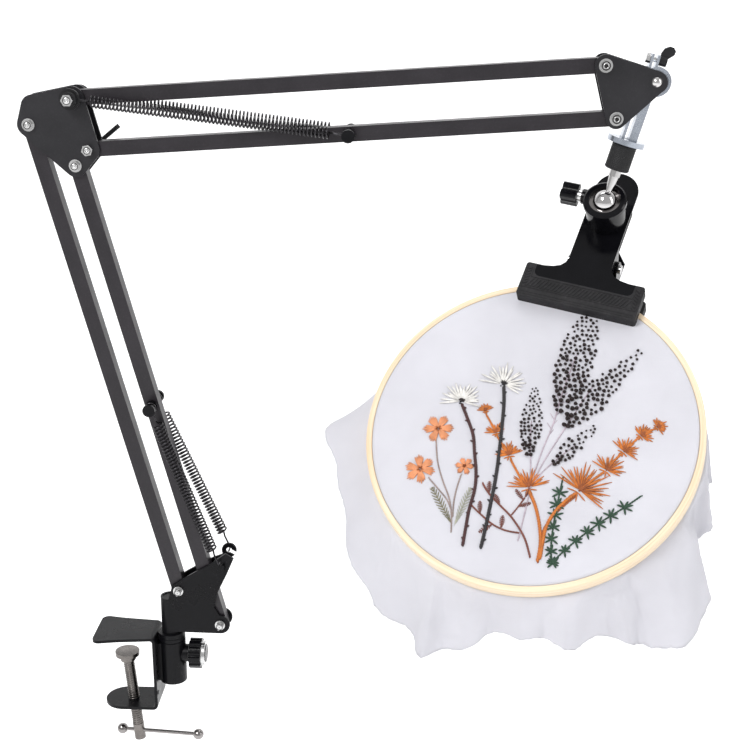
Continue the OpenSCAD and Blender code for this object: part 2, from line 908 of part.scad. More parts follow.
module hoop_outer_ring() {
  color([0.93, 0.86, 0.72]) hoop_frame() difference() {
    cylinder(r = hoop_r, h = hoop_h, $fn = 180);
    translate([0, 0, -1]) cylinder(r = inner_r, h = hoop_h + 2, $fn = 180);
    translate([-split / 2, hoop_r - 10, -1]) cube([split, 20, hoop_h + 2]);
  }
}

module hoop_inner_ring() {
  inner_out = inner_r - 0.7;
  color([0.93, 0.86, 0.72]) hoop_frame() difference() {
    cylinder(r = inner_out, h = hoop_h - cloth_t - 0.2, $fn = 180);
    translate([0, 0, -1]) cylinder(r = inner_out - 3.7, h = hoop_h + 2, $fn = 180);
  }
}

lug_top = 120;
lug_screw = 115.5;

module hoop_lugs() {
  color([0.8, 0.66, 0.35]) hoop_frame() difference() {
    for (x = [-lug_x, split / 2 + 0.4])
      translate([x, hoop_r - 5, 1]) cube([lug_x - split / 2 - 0.4, lug_top - hoop_r + 5, hoop_h - 2]);
    translate([0, 0, -1]) cylinder(r = hoop_r, h = hoop_h + 2, $fn = 180);
    x_rod(-20, 20, lug_screw, hoop_h / 2, 1.55);
  }
}

module hoop_screw() {
  color([0.8, 0.66, 0.35]) hoop_frame() {
    x_rod(-10.6, 13.6, lug_screw, hoop_h / 2, 1.5);
    x_rod(-10.6, -8.1, lug_screw, hoop_h / 2, 2.8);
    x_rod(8.1, 13, lug_screw, hoop_h / 2, 4.2);
  }
}

module cloth_face() {
  color([0.95, 0.94, 0.96]) hoop_frame()
    translate([0, 0, hoop_h - cloth_t]) cylinder(r = inner_r - 0.2, h = cloth_t, $fn = 180);
}

// hanging border of the cloth: a thin curtain round the hoop's back edge, open behind the jaws
skirt_from = 120;
skirt_to = 420;
skirt_steps = 100;
skirt_t = 1;
skirt_top = [hoop_r - 2.5, -0.8];
cloth_turn = 18;

// free length of the border, what the square leaves outside the ring
function flap(a) =
  min(cloth_w / 2 / max(abs(cos(a - cloth_turn)), abs(sin(a - cloth_turn))) - hoop_r - 7, 62);

// how far the border stands out from the hoop instead of hanging straight down
function stands_out(a) = 0.22 + 0.5 * pow(max(0, cos(a + 25)), 2) + 0.2 * pow(max(0, cos(a - 235)), 4);

function radial(a) = [cos(a), sin(a), 0];

function fall(a) =
  let (d = stands_out(a) * radial(a) + (1 - stands_out(a)) * down) d / norm(d);

function skirt_ring(a) =
  let (
    top = skirt_top[0] * radial(a) + [0, 0, skirt_top[1]],
    hem = top + flap(a) * fall(a) + 1.5 * sin(11 * a) * radial(a),
    side = cross([-sin(a), cos(a), 0], fall(a)),
    off = skirt_t * side / norm(side)
  )
  [top, hem, hem + off, top + off];

function strip(i, p, q) = [[4 * i + p, 4 * i + 4 + p, 4 * i + 4 + q], [4 * i + p, 4 * i + 4 + q, 4 * i + q]];

module cloth_skirt() {
  step = (skirt_to - skirt_from) / skirt_steps;
  pts = [for (i = [0:skirt_steps]) each skirt_ring(skirt_from + i * step)];
  sides = [
    for (i = [0:skirt_steps - 1], s = [[0, 1], [1, 2], [2, 3], [3, 0]]) each strip(i, s[0], s[1])
  ];
  last = 4 * skirt_steps;
  ends = [[3, 0, 1], [3, 1, 2], [last, last + 3, last + 2], [last, last + 2, last + 1]];
  color([0.95, 0.94, 0.96]) hoop_frame() polyhedron(points = pts, faces = concat(sides, ends), convexity = 10);
}

clamp_bracket();
post_socket();
clamp_pad();
clamp_screw();
tommy_bar();
post_knob_stem();
post_knob_grip();
base_bracket();
base_post();
base_bolts();
lower_bar_rear();
lower_bar_front();
lower_spring_pin();
lower_spring_near();
lower_spring_far();
elbow_plate_near();
elbow_plate_far();
elbow_bolts();
elbow_spring_bolt();
elbow_sleeves();
elbow_wing_nut();
upper_bar_top();
upper_bar_bottom();
upper_spring_pin();
upper_spring_near();
upper_spring_far();
head_plate_near();
head_plate_far();
head_bolts();
nose_bolt();
yoke_strap();
yoke_disc();
wing_screw();
wing_grip();
adapter();
ball_stud();
ball_seat();
ball_socket();
socket_ring();
socket_screw();
ball_knob_stem();
ball_knob_grip();
front_jaw();
front_pad();
jaw_pin();
jaw_spring();
rear_jaw();
rear_pad();
hoop_outer_ring();
hoop_inner_ring();
hoop_lugs();
hoop_screw();
cloth_face();
cloth_skirt();
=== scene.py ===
import json, math, random
import bpy, bmesh
import numpy as np
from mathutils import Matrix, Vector


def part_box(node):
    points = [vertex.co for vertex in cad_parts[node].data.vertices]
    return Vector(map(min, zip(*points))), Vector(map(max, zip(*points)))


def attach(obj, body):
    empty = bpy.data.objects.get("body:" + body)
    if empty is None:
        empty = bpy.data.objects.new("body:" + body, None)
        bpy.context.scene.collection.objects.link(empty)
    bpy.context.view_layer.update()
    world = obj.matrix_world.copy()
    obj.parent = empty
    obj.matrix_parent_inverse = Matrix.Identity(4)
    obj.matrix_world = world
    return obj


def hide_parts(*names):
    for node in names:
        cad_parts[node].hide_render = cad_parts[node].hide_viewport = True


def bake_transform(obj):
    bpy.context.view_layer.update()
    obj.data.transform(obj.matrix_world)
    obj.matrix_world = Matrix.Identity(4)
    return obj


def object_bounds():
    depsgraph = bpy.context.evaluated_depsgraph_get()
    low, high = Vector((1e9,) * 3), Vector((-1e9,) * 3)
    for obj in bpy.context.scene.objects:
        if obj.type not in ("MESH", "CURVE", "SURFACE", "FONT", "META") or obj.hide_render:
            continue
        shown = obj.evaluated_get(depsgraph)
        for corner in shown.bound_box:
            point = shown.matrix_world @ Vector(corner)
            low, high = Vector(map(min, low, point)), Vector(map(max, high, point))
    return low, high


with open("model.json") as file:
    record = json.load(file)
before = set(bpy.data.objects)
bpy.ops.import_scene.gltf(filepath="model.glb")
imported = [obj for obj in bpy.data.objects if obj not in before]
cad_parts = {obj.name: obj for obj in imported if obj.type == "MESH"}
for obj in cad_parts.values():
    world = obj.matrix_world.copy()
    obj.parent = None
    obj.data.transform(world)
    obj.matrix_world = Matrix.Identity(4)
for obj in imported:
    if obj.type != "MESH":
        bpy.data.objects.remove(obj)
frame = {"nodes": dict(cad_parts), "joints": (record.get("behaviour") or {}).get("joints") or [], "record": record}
CAD_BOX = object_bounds()
NODES = frame["nodes"]
MM = 0.001
rnd = random.Random(7)


# ------------------------ camera, floor, light

FLOOR_DROP = 0.42  # from the clamp's lowest point to the floor

def camera():
    data = bpy.data.cameras.new("camera")
    data.lens = 66.7
    data.sensor_width = 36.0
    data.clip_end = 20
    cam = bpy.data.objects.new("camera", data)
    cam.location = (0.2286, -0.9274, 0.4932)
    cam.rotation_euler = (math.radians(72.70), 0, math.radians(2.73))
    bpy.context.scene.collection.objects.link(cam)
    bpy.context.scene.camera = cam


def area_light(name, at, aim, size, power):
    data = bpy.data.lights.new(name, "AREA")
    data.shape = "RECTANGLE"
    data.size, data.size_y = size
    data.energy = power
    ob = bpy.data.objects.new(name, data)
    ob.location = at
    ob.rotation_euler = (Vector(aim) - Vector(at)).to_track_quat("-Z", "Y").to_euler()
    bpy.context.scene.collection.objects.link(ob)


def studio():
    """White sweep, soft lights. The floor is low, so that a pose that hangs below the desk clears it."""
    low = CAD_BOX[0].z - FLOOR_DROP
    radius, half, back, front, top, steps = 0.9, 6.0, 3.2, -6.0, 5.0, 16
    profile = [(front, 0.0), (back - radius, 0.0)]
    for i in range(1, steps + 1):
        a = math.pi / 2 * i / steps
        profile.append((back - radius + radius * math.sin(a), radius - radius * math.cos(a)))
    profile.append((back, top))
    me = bpy.data.meshes.new("backdrop")
    verts = [(x, y, low + z) for y, z in profile for x in (-half, half)]
    faces = [(2 * i, 2 * i + 1, 2 * i + 3, 2 * i + 2) for i in range(len(profile) - 1)]
    me.from_pydata(verts, [], faces)
    for p in me.polygons:
        p.use_smooth = True
    ob = bpy.data.objects.new("backdrop", me)
    bpy.context.scene.collection.objects.link(ob)
    white = Mat("backdrop")
    white.set(Base_Color=(0.90, 0.90, 0.905, 1), Roughness=0.9, Emission_Color=(1, 1, 1, 1),
              Emission_Strength=0.42)
    me.materials.append(M["backdrop"])
    world = bpy.data.worlds.new("world")
    bpy.context.scene.world = world
    world.use_nodes = True
    sky = world.node_tree.nodes["Background"]
    sky.inputs["Color"].default_value = (1.0, 1.0, 1.0, 1)
    sky.inputs["Strength"].default_value = 0.62
    bpy.context.scene.view_settings.view_transform = "Standard"
    area_light("key", (-0.9, -1.5, 1.7), (0.15, 0, 0.2), (0.8, 0.8), 34)
    area_light("side", (1.9, -0.7, 0.9), (0.2, 0, 0.2), (0.5, 1.6), 12)
    area_light("top", (0.2, 0.5, 2.1), (0.2, 0, 0.2), (1.6, 0.8), 14)


# ------------------------ materials

M = {}


class Mat:
    """A builder round one Principled material, kept in M; coordinates are the object's own, in metres."""

    def __init__(self, name):
        M[name] = bpy.data.materials.new(name)
        M[name].use_nodes = True
        self.t = M[name].node_tree
        self.b = self.t.nodes["Principled BSDF"]
        self.co = self.t.nodes.new("ShaderNodeTexCoord").outputs["Object"]

    def set(self, **values):
        for k, v in values.items():
            self.b.inputs[k.replace("_", " ")].default_value = v

    def node(self, kind, inputs=None, **props):
        """A node with its properties set and its inputs filled, each from a socket or a value."""
        n = self.t.nodes.new(kind)
        for k, v in props.items():
            setattr(n, k, v)
        for k, v in (inputs or {}).items():
            if isinstance(v, bpy.types.NodeSocket):
                self.t.links.new(v, n.inputs[k])
            else:
                n.inputs[k].default_value = v
        return n

    def uv(self, layer):
        return self.node("ShaderNodeUVMap", uv_map=layer).outputs[0]

    def noise(self, scale, detail=3.0, rough=0.55, co=None):
        inputs = {"Scale": scale, "Detail": detail, "Roughness": rough, "Vector": co or self.co}
        return self.node("ShaderNodeTexNoise", inputs).outputs["Fac"]

    def stretched(self, scale, co):
        return self.node("ShaderNodeMapping", {"Scale": scale, "Vector": co}).outputs["Vector"]

    def ramp(self, fac, stops):
        n = self.node("ShaderNodeValToRGB", {0: fac})
        r = n.color_ramp
        while len(r.elements) < len(stops):
            r.elements.new(0.5)
        for e, (p, c) in zip(r.elements, stops):
            e.position = p
            e.color = (*c, 1)
        return n.outputs[0]

    def remap(self, fac, lo, hi, a=0.0, b=1.0):
        """fac from a to b becomes lo to hi."""
        inputs = {"Value": fac, "From Min": a, "From Max": b, "To Min": lo, "To Max": hi}
        return self.node("ShaderNodeMapRange", inputs).outputs[0]

    def math(self, op, a, b=None):
        inputs = {0: a} if b is None else {0: a, 1: b}
        return self.node("ShaderNodeMath", inputs, operation=op).outputs[0]

    def mix(self, fac, a, b):
        """From a to b, each a colour or a socket, as the socket fac says."""
        a, b = ((*v, 1) if isinstance(v, tuple) else v for v in (a, b))
        return self.node("ShaderNodeMix", {0: fac, 6: a, 7: b}, data_type="RGBA").outputs[2]

    def colour(self, out):
        self.t.links.new(out, self.b.inputs["Base Color"])

    def rough(self, out):
        self.t.links.new(out, self.b.inputs["Roughness"])

    def bump(self, height, distance):
        n = self.node("ShaderNodeBump", {"Distance": distance, "Height": height})
        self.t.links.new(n.outputs[0], self.b.inputs["Normal"])


def tint(c, k):
    return tuple(max(0.0, min(1.0, x * k)) for x in c)


def painted(name, base, rough, dust, gloss=0.34):
    """Enamel or powder coat: orange peel, patchy gloss and a trace of dust."""
    m = Mat(name)
    cloud = m.noise(38, 4)
    grain = m.noise(900, 2)
    body = m.ramp(cloud, [(0.3, tint(base, 0.82)), (0.7, tint(base, 1.2))])
    m.colour(m.mix(m.remap(grain, 0, dust * 0.2, 0.5, 0.9), body, (0.22, 0.21, 0.22)))
    m.rough(m.remap(cloud, rough - 0.06, rough + 0.1, 0.3, 0.7))
    m.bump(m.noise(520, 3), 0.00002)
    m.set(Specular_IOR_Level=gloss)


def metal(name, base, rough, scratch=0.00002, spots=0.15):
    """Plated or bare metal with cloudy tone and fine scratches."""
    m = Mat(name)
    fine = m.noise(1400, 3)
    cloud = m.noise(70, 4)
    tone = m.ramp(cloud, [(0.3, tint(base, 1 - spots)), (0.7, tint(base, 1.06))])
    m.colour(m.mix(m.remap(fine, 0, 0.25, 0.45, 0.8), tone, tint(base, 0.7)))
    m.rough(m.remap(fine, rough * 0.75, rough * 1.4, 0.3, 0.7))
    m.bump(fine, scratch)
    m.set(Metallic=1.0)


def plastic(name, base, rough, gloss=0.3):
    """Moulded plastic with a fine grain."""
    m = Mat(name)
    cloud = m.noise(55, 3)
    m.colour(m.ramp(cloud, [(0.3, tint(base, 0.8)), (0.72, tint(base, 1.35))]))
    m.rough(m.remap(m.noise(160, 3), rough - 0.06, rough + 0.1, 0.3, 0.7))
    m.bump(m.noise(1500, 2), 0.00002)
    m.set(Specular_IOR_Level=gloss)


def rubber(name):
    """Black rubber with a dusty bloom."""
    m = Mat(name)
    cloud = m.noise(60, 4)
    dust = m.noise(420, 3)
    body = m.ramp(cloud, [(0.3, (0.011, 0.011, 0.012)), (0.7, (0.024, 0.023, 0.025))])
    m.colour(m.mix(m.remap(dust, 0, 0.4, 0.52, 0.85), body, (0.075, 0.072, 0.075)))
    m.rough(m.remap(dust, 0.5, 0.78, 0.3, 0.7))
    m.bump(m.noise(1100, 3), 0.00005)
    m.set(Specular_IOR_Level=0.22)


def bamboo(name):
    """Bamboo strip bent into a ring: grain runs along U (metres), fine fibre across V."""
    m = Mat(name)
    uv = m.uv("grain")
    streak = m.noise(1.0, 5, 0.62, m.stretched((26, 2600, 1), uv))
    band = m.noise(1.0, 3, 0.5, m.stretched((9, 520, 1), uv))
    fleck = m.noise(1.0, 2, 0.5, m.stretched((160, 5200, 1), uv))
    joint_tone = m.noise(1.0, 1, 0.3, m.stretched((7, 1, 1), uv))
    tone = m.ramp(band, [(0.25, (0.70, 0.53, 0.34)), (0.5, (0.80, 0.65, 0.46)), (0.8, (0.87, 0.75, 0.58))])
    tone = m.mix(m.remap(streak, 0.0, 0.75, 0.52, 0.8), tone, (0.56, 0.38, 0.22))
    tone = m.mix(m.remap(fleck, 0.0, 0.55, 0.62, 0.8), tone, (0.90, 0.80, 0.64))
    tone = m.mix(m.remap(joint_tone, 0.0, 0.35, 0.62, 0.7), tone, (0.70, 0.45, 0.24))
    m.colour(tone)
    m.rough(m.remap(streak, 0.34, 0.52, 0.3, 0.7))
    m.bump(m.math("ADD", streak, m.math("MULTIPLY", fleck, 0.5)), 0.00012)
    m.set(Coat_Weight=0.25, Coat_Roughness=0.3, Specular_IOR_Level=0.45)


def cotton(name):
    """Plain weave cotton; UV is in metres along the warp and weft."""
    m = Mat(name)
    base, yarn_pair = (0.715, 0.71, 0.765), 0.00062
    uv = m.uv("cloth")
    slub = m.noise(1.0, 2, 0.5, m.stretched((60, 900, 1), uv))
    warp, weft, _ = m.node("ShaderNodeSeparateXYZ", {0: uv}).outputs

    def wave(sock, phase=0.0):
        turns = m.math("MULTIPLY", sock, 2 * math.pi / yarn_pair)
        return m.math("SINE", m.math("ADD", turns, phase))

    gaps = m.math("MULTIPLY", m.math("ABSOLUTE", wave(warp)), m.math("ABSOLUTE", wave(weft)))
    over = m.math("MULTIPLY", wave(warp, math.pi / 2), wave(weft, math.pi / 2))
    weave = m.math("ADD", gaps, m.math("MULTIPLY", over, 0.35))
    cloud = m.noise(24, 3)
    tone = m.ramp(cloud, [(0.3, tint(base, 0.96)), (0.72, tint(base, 1.05))])
    # painted shade: the colour goes darker between the yarns, where the weave dips
    tone = m.mix(m.remap(weave, 0.16, 0.0, -0.1, 0.9), tone, tint(base, 0.78))
    tone = m.mix(m.remap(slub, 0.0, 0.08, 0.5, 0.8), tone, (0.82, 0.80, 0.82))
    m.colour(tone)
    m.set(Roughness=0.86, Sheen_Weight=0.25, Sheen_Roughness=0.45, Specular_IOR_Level=0.2)
    m.bump(m.math("ADD", weave, m.math("MULTIPLY", slub, 0.7)), 0.00013)


def thread(name, base):
    """Stranded cotton: twisted ply shown as fine slanting lines, with painted shade in the hollows between the
    strands.
    """
    m = Mat(name)
    ply_length, strands = 0.0011, 2
    u, v, _ = m.node("ShaderNodeSeparateXYZ", {0: m.uv("ply")}).outputs
    along = m.math("MULTIPLY", u, 2 * math.pi / ply_length)
    ply = m.math("SINE", m.math("ADD", along, m.math("MULTIPLY", v, 2 * math.pi * strands)))
    patch = m.noise(190, 3)
    tone = m.ramp(patch, [(0.3, tint(base, 0.72)), (0.7, tint(base, 1.22))])
    # painted shade: the colour goes darker where the ply dips into its hollows
    m.colour(m.mix(m.remap(ply, 0.45, 0.0, -1, 0.6), tone, tint(base, 0.55)))
    m.set(Roughness=0.55, Sheen_Weight=0.08, Sheen_Roughness=0.35)
    m.bump(ply, 0.00008)


def make_materials():
    painted("black_paint", (0.004, 0.004, 0.005), 0.28, dust=0.06, gloss=0.14)
    painted("arm_paint", (0.017, 0.0145, 0.018), 0.36, dust=0.2)
    painted("plate_paint", (0.014, 0.0135, 0.016), 0.34, dust=0.15)
    metal("zinc", (0.60, 0.60, 0.60), 0.20)
    metal("blue_zinc", (0.50, 0.54, 0.61), 0.20, spots=0.3)
    metal("grey_steel", (0.20, 0.185, 0.175), 0.26, spots=0.35)
    metal("chrome", (0.58, 0.57, 0.57), 0.07, scratch=0.000004, spots=0.12)
    metal("dark_chrome", (0.30, 0.285, 0.28), 0.12, scratch=0.000006, spots=0.2)
    metal("spring_steel", (0.050, 0.048, 0.052), 0.24, spots=0.3)
    plastic("black_gloss", (0.003, 0.003, 0.004), 0.13, gloss=0.18)
    plastic("black_plastic", (0.008, 0.008, 0.009), 0.44)
    # painted shade: flat near-black laid on the bolt heads where their grooves and sockets fall into shade
    plastic("black_recess", (0.012, 0.011, 0.011), 0.5)
    rubber("pad_rubber")
    bamboo("bamboo")
    metal("brass", (0.72, 0.52, 0.24), 0.26)
    cotton("cotton")
    plastic("lint", (0.62, 0.61, 0.62), 0.8)


# ------------------------ mesh helpers

def make_object(name, mesh, slot, material=None, body=None, replaces=(), smooth=True):
    """A piece from (verts, faces). It shows its slot's own material unless it is given another."""
    verts, faces = mesh
    me = bpy.data.meshes.new(name)
    me.from_pydata([tuple(v) for v in verts], [], faces)
    me.validate()
    me.update()
    for p in me.polygons:
        p.use_smooth = smooth
    ob = bpy.data.objects.new(name, me)
    bpy.context.scene.collection.objects.link(ob)
    me.materials.append(M[material or slot])
    if body:
        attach(ob, body)
    if replaces:
        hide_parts(*replaces)
    return ob


def frames_along(points):
    """Tangent and two sides at each point of a polyline, carried along without twist."""
    n = len(points)
    tangents = []
    for i in range(n):
        a, b = points[max(0, i - 1)], points[min(n - 1, i + 1)]
        tangents.append((b - a).normalized())
    side = tangents[0].cross(Vector((0, 1, 0)))
    if side.length < 1e-4:
        side = tangents[0].cross(Vector((1, 0, 0)))
    side.normalize()
    out = []
    for t in tangents:
        side = (side - t * side.dot(t)).normalized()
        out.append((t, side, t.cross(side)))
    return out


def tube(points, radius, sides):
    """(verts, faces) of a closed tube along points."""
    verts, faces = [], []
    for p, (_, s, b) in zip(points, frames_along(points)):
        for k in range(sides):
            a = 2 * math.pi * k / sides
            verts.append(p + (s * math.cos(a) + b * math.sin(a)) * radius)
    for i in range(len(points) - 1):
        a, b = i * sides, (i + 1) * sides
        for k in range(sides):
            k2 = (k + 1) % sides
            faces.append((a + k, a + k2, b + k2, b + k))
    faces.append(tuple(range(sides))[::-1])
    last = (len(points) - 1) * sides
    faces.append(tuple(last + k for k in range(sides)))
    return verts, faces


def merge(parts):
    """One (verts, faces) of many."""
    verts, faces = [], []
    for v, f in parts:
        o = len(verts)
        verts += list(v)
        faces += [tuple(i + o for i in q) for q in f]
    return verts, faces


def helix(a, b, radius, turns, per_turn):
    """Points of a helix round the line from a to b; it starts on the +Y side."""
    s1 = Vector((0, 1, 0))
    s2 = (b - a).normalized().cross(s1)
    n = int(turns * per_turn)
    pts = []
    for i in range(n + 1):
        t = 2 * math.pi * i / per_turn
        pts.append(a.lerp(b, i / n) + (s1 * math.cos(t) + s2 * math.sin(t)) * radius)
    return pts


def lathe(profile, steps, centre, x, y, z, wobble=None, closed=False):
    """Turns a profile of (radius, height) about z through centre. wobble(i, angle, r, h) may change r."""
    c, x, y, z = map(Vector, (centre, x, y, z))
    verts, faces = [], []
    n = len(profile)
    for i in range(steps):
        a = 2 * math.pi * i / steps
        for j, (r, h) in enumerate(profile):
            if wobble:
                r = wobble(j, a, r, h)
            verts.append(c + (x * math.cos(a) + y * math.sin(a)) * r + z * h)
    rows = n if closed else n - 1
    for i in range(steps):
        i2 = (i + 1) % steps
        for j in range(rows):
            j2 = (j + 1) % n
            faces.append((i * n + j, i2 * n + j, i2 * n + j2, i * n + j2))
    return verts, faces


# ------------------------ the frame's places, in metres

def joint(name):
    return next(j for j in frame["joints"] if j["name"] == name)


JPOS = {j["name"]: Vector(j.get("pos_m") or (0, 0, 0)) for j in frame["joints"]}
BALL = JPOS["ball_tilt"]
N_AX = Vector(joint("ball_spin")["axis"]).normalized()
W_AX = Vector(joint("jaw_open")["axis"]).normalized()
U_AX = N_AX.cross(W_AX)
T_AX = Vector(joint("stud_turn")["axis"]).normalized()


def loc(x, u, z=0.0):
    """Millimetres in the spring clamp's own frame to metres in the row frame."""
    return BALL + (W_AX * x + U_AX * u + N_AX * z) * MM


# the hoop in the spring clamp's frame: its centre along u, its faces along z, and its outer ring
HOOP_U = -161.4
FACE_Z = -28.7
BACK_Z = -38.7
HOOP_R = 109.0
RING_T = 4.0


# ------------------------ CAD nodes that stay

def dress_nodes():
    """A material and a softened edge for each CAD node. Some nodes get a nearer match than their slot's."""
    slots = {s["node"]: s["material_slot"] for s in frame["record"]["subparts"]}
    finer = {"dark_chrome": ("ball_seat", "tommy_bar"),
             "plate_paint": ("elbow_plate_near", "elbow_plate_far", "head_plate_near", "head_plate_far"),
             "black_gloss": ("front_jaw", "rear_jaw", "ball_socket", "socket_ring")}
    for material, nodes in finer.items():
        slots.update(dict.fromkeys(nodes, material))
    for name, ob in NODES.items():
        ob.data.materials.clear()
        ob.data.materials.append(M[slots[name]])
        for p in ob.data.polygons:
            p.use_smooth = True
        sharp = ob.modifiers.new("edges", "BEVEL")
        sharp.width = 0.00035
        sharp.segments = 2
        sharp.limit_method = "ANGLE"
        sharp.angle_limit = math.radians(38)
        sharp.harden_normals = True
        sharp.use_clamp_overlap = True


# ------------------------ balance springs

SPRING_Y = 0.0113  # from the arm's plane to a spring's axis
WIRE = 0.00066  # the wire's radius
COIL_R = 0.00425 - WIRE
COIL_PITCH = 0.0025
RUN_IN = 0.013  # from a hook's centre to the first turn
EYE_R = 0.0037


def eye_points(centre, start, along):
    """Open eye round centre, in the XZ plane; start is its first angle, from the direction along."""
    s1 = along.normalized()
    s2 = Vector((-s1.z, 0, s1.x))
    steps, sweep = 20, 1.85 * math.pi
    pts = []
    for i in range(steps + 1):
        t = start + sweep * i / steps
        pts.append(centre + (s1 * math.cos(t) + s2 * math.sin(t)) * EYE_R)
    return pts


def share_turn(ob, a, b):
    """Works out where each vertex lies along the spring from a to b, short of its eyes; nothing is done with the
    result.
    """
    co = np.array([p.co for p in ob.data.vertices], float)
    d = np.array(b - a)
    s = np.clip((co - np.array(a)) @ d / (d @ d), 0, 1)
    eye_share = 0.0045 / (b - a).length
    s = np.clip((s - eye_share) / (1 - 2 * eye_share), 0, 1)


def spring(name, node, a, b, y, cranked):
    """Tension spring between the (x, z) points a and b. It has an eye at b, and at a an eye or a cranked
    end that turns inward into a hole."""
    a, b = Vector((a[0], y, a[1])), Vector((b[0], y, b[1]))
    d = (b - a).normalized()
    side = Vector((0, 1, 0))
    start, end = a + d * RUN_IN, b - d * RUN_IN
    to_eye = EYE_R + 0.0012

    def run_out(at, way):
        return [at + side * COIL_R, at + side * COIL_R * 0.5 + way * 0.0015, at + way * 0.0035]

    turns = round((end - start).length / COIL_PITCH)
    far_end = run_out(end, d) + [b - d * to_eye] + eye_points(b, math.pi, d)
    near_end = run_out(start, -d)
    if cranked:
        inward = Vector((0, -math.copysign(1, y), 0))
        near_end += [a + d * 0.0014] + [a + inward * k for k in (0.0012, 0.0045, 0.0072)]
    else:
        near_end += [a + d * to_eye] + eye_points(a, 0, d)
    paths = (helix(start, end, COIL_R, turns, 14), far_end, near_end)
    ob = make_object(name, merge([tube(path, WIRE, 7) for path in paths]), "spring_steel", replaces=(node,))
    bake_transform(ob)
    share_turn(ob, a, b)


def pin_place(node):
    lo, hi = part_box(node)
    return (lo.x + hi.x) / 2, (lo.z + hi.z) / 2


def springs():
    """The lower pair hooks into the base bracket's horns, the upper pair on the elbow's top bolt."""
    low_pin, up_pin = pin_place("lower_spring_pin"), pin_place("upper_spring_pin")
    near_horn, far_horn = (0.0715, 0.0605), (0.0765, 0.0655)
    bolt = (JPOS["upper_lift"].x, JPOS["upper_lift"].z)
    near, far = -SPRING_Y, SPRING_Y
    spring("spring_low_near", "lower_spring_near", near_horn, low_pin, near, True)
    spring("spring_low_far", "lower_spring_far", far_horn, low_pin, far, True)
    spring("spring_up_near", "upper_spring_near", bolt, up_pin, near, False)
    spring("spring_up_far", "upper_spring_far", bolt, up_pin, far, False)


# ------------------------ hoop

def ring_mesh(name, node, r_in, r_out, z0, z1, edge, gap_deg=0.0):
    """Bent strip with rounded edges; UV 'grain' in metres along and round the strip."""
    steps, corner = 220, []
    for cx, cz, a0 in ((r_out - edge, z1 - edge, 0), (r_in + edge, z1 - edge, 90),
                       (r_in + edge, z0 + edge, 180), (r_out - edge, z0 + edge, 270)):
        for k in range(4):
            a = math.radians(a0 + 30 * k)
            corner.append((cx + edge * math.cos(a), cz + edge * math.sin(a)))
    n = len(corner)
    dist = [0.0]
    for p, q in zip(corner, corner[1:] + corner[:1]):
        dist.append(dist[-1] + math.hypot(p[0] - q[0], p[1] - q[1]) * MM)
    verts, faces, uvs = [], [], []
    first, sweep = math.radians(90 + gap_deg / 2), math.radians(360 - gap_deg)
    count = steps + (1 if gap_deg else 0)
    for i in range(count):
        a = first + sweep * i / steps
        for r, z in corner:
            verts.append(loc(r * math.cos(a), HOOP_U + r * math.sin(a), z))
    for i in range(steps):
        i2 = (i + 1) % count
        u0, u1 = (k / steps * sweep * r_out * MM for k in (i, i + 1))
        for j in range(n):
            j2 = (j + 1) % n
            faces.append((i * n + j, i * n + j2, i2 * n + j2, i2 * n + j))
            uvs += [(u0, dist[j]), (u0, dist[j + 1]), (u1, dist[j + 1]), (u1, dist[j])]
    if gap_deg:
        faces.append(tuple(range(n))[::-1])
        faces.append(tuple(steps * n + k for k in range(n)))
        uvs += [(0.0, d) for d in dist[:n]] * 2
    ob = make_object(name, (verts, faces), "bamboo", body="hoop", replaces=(node,))
    layer = ob.data.uv_layers.new(name="grain")
    for point, uv in zip(layer.data, uvs):
        point.uv = uv
    bm = bmesh.new()
    bm.from_mesh(ob.data)
    bmesh.ops.recalc_face_normals(bm, faces=bm.faces)
    bm.to_mesh(ob.data)
    bm.free()


def hoop():
    """Outer ring with its split under the jaws, and the plain inner ring, a little lower in it."""
    split, room, inner_t, lower = 3, 0.7, 3.7, 0.8
    bore = HOOP_R - RING_T
    split_deg = math.degrees(split / HOOP_R)
    ring_mesh("outer_ring", "hoop_outer_ring", bore, HOOP_R, BACK_Z, FACE_Z, 0.7, split_deg)
    outer = bore - room
    ring_mesh("inner_ring", "hoop_inner_ring", outer - inner_t, outer, BACK_Z, FACE_Z - lower, 0.6)


# ------------------------ fittings

def screw_thread():
    """Rolled thread on the desk clamp's screw, as one helical ridge."""
    at, way = JPOS["screw_turn"], Vector(joint("screw_turn")["axis"]).normalized()
    low, high, pitch, radius, ridge = -0.0205, 0.0325, 0.0019, 0.00365, 0.00056
    path = helix(at + way * low, at + way * high, radius, (high - low) / pitch, 18)
    make_object("clamp_screw_thread", tube(path, ridge, 5), "grey_steel", body="clamp_screw")


def knurled_adapter():
    """Diamond knurling cut into the adapter between two plain rims."""
    low, high, r, bore, rim = 0.0225, 0.04015, 0.00825, 0.0019, 0.0008
    rows, teeth, slope, depth = 34, 17, 1300, 0.0006
    profile = [(bore, low), (r - rim, low), (r, low + rim)]
    profile += [(r, low + 2 * rim + (high - low - 4 * rim) * i / rows) for i in range(rows + 1)]
    profile += [(r, high - rim), (r - rim, high), (bore, high)]

    def knurl(j, a, rr, h):
        if j < 3 or j > rows + 3:
            return rr
        ridge = abs(math.sin(teeth * a + slope * h)) + abs(math.sin(teeth * a - slope * h))
        return rr - depth * (1 - ridge / 2)

    s1 = T_AX.cross(Vector((0, 1, 0))).normalized()
    s2 = T_AX.cross(s1)
    mesh = lathe(profile, 260, BALL, s1, s2, T_AX, knurl, closed=True)
    make_object("adapter_knurled", mesh, "black_plastic", body="stud", replaces=("adapter",))


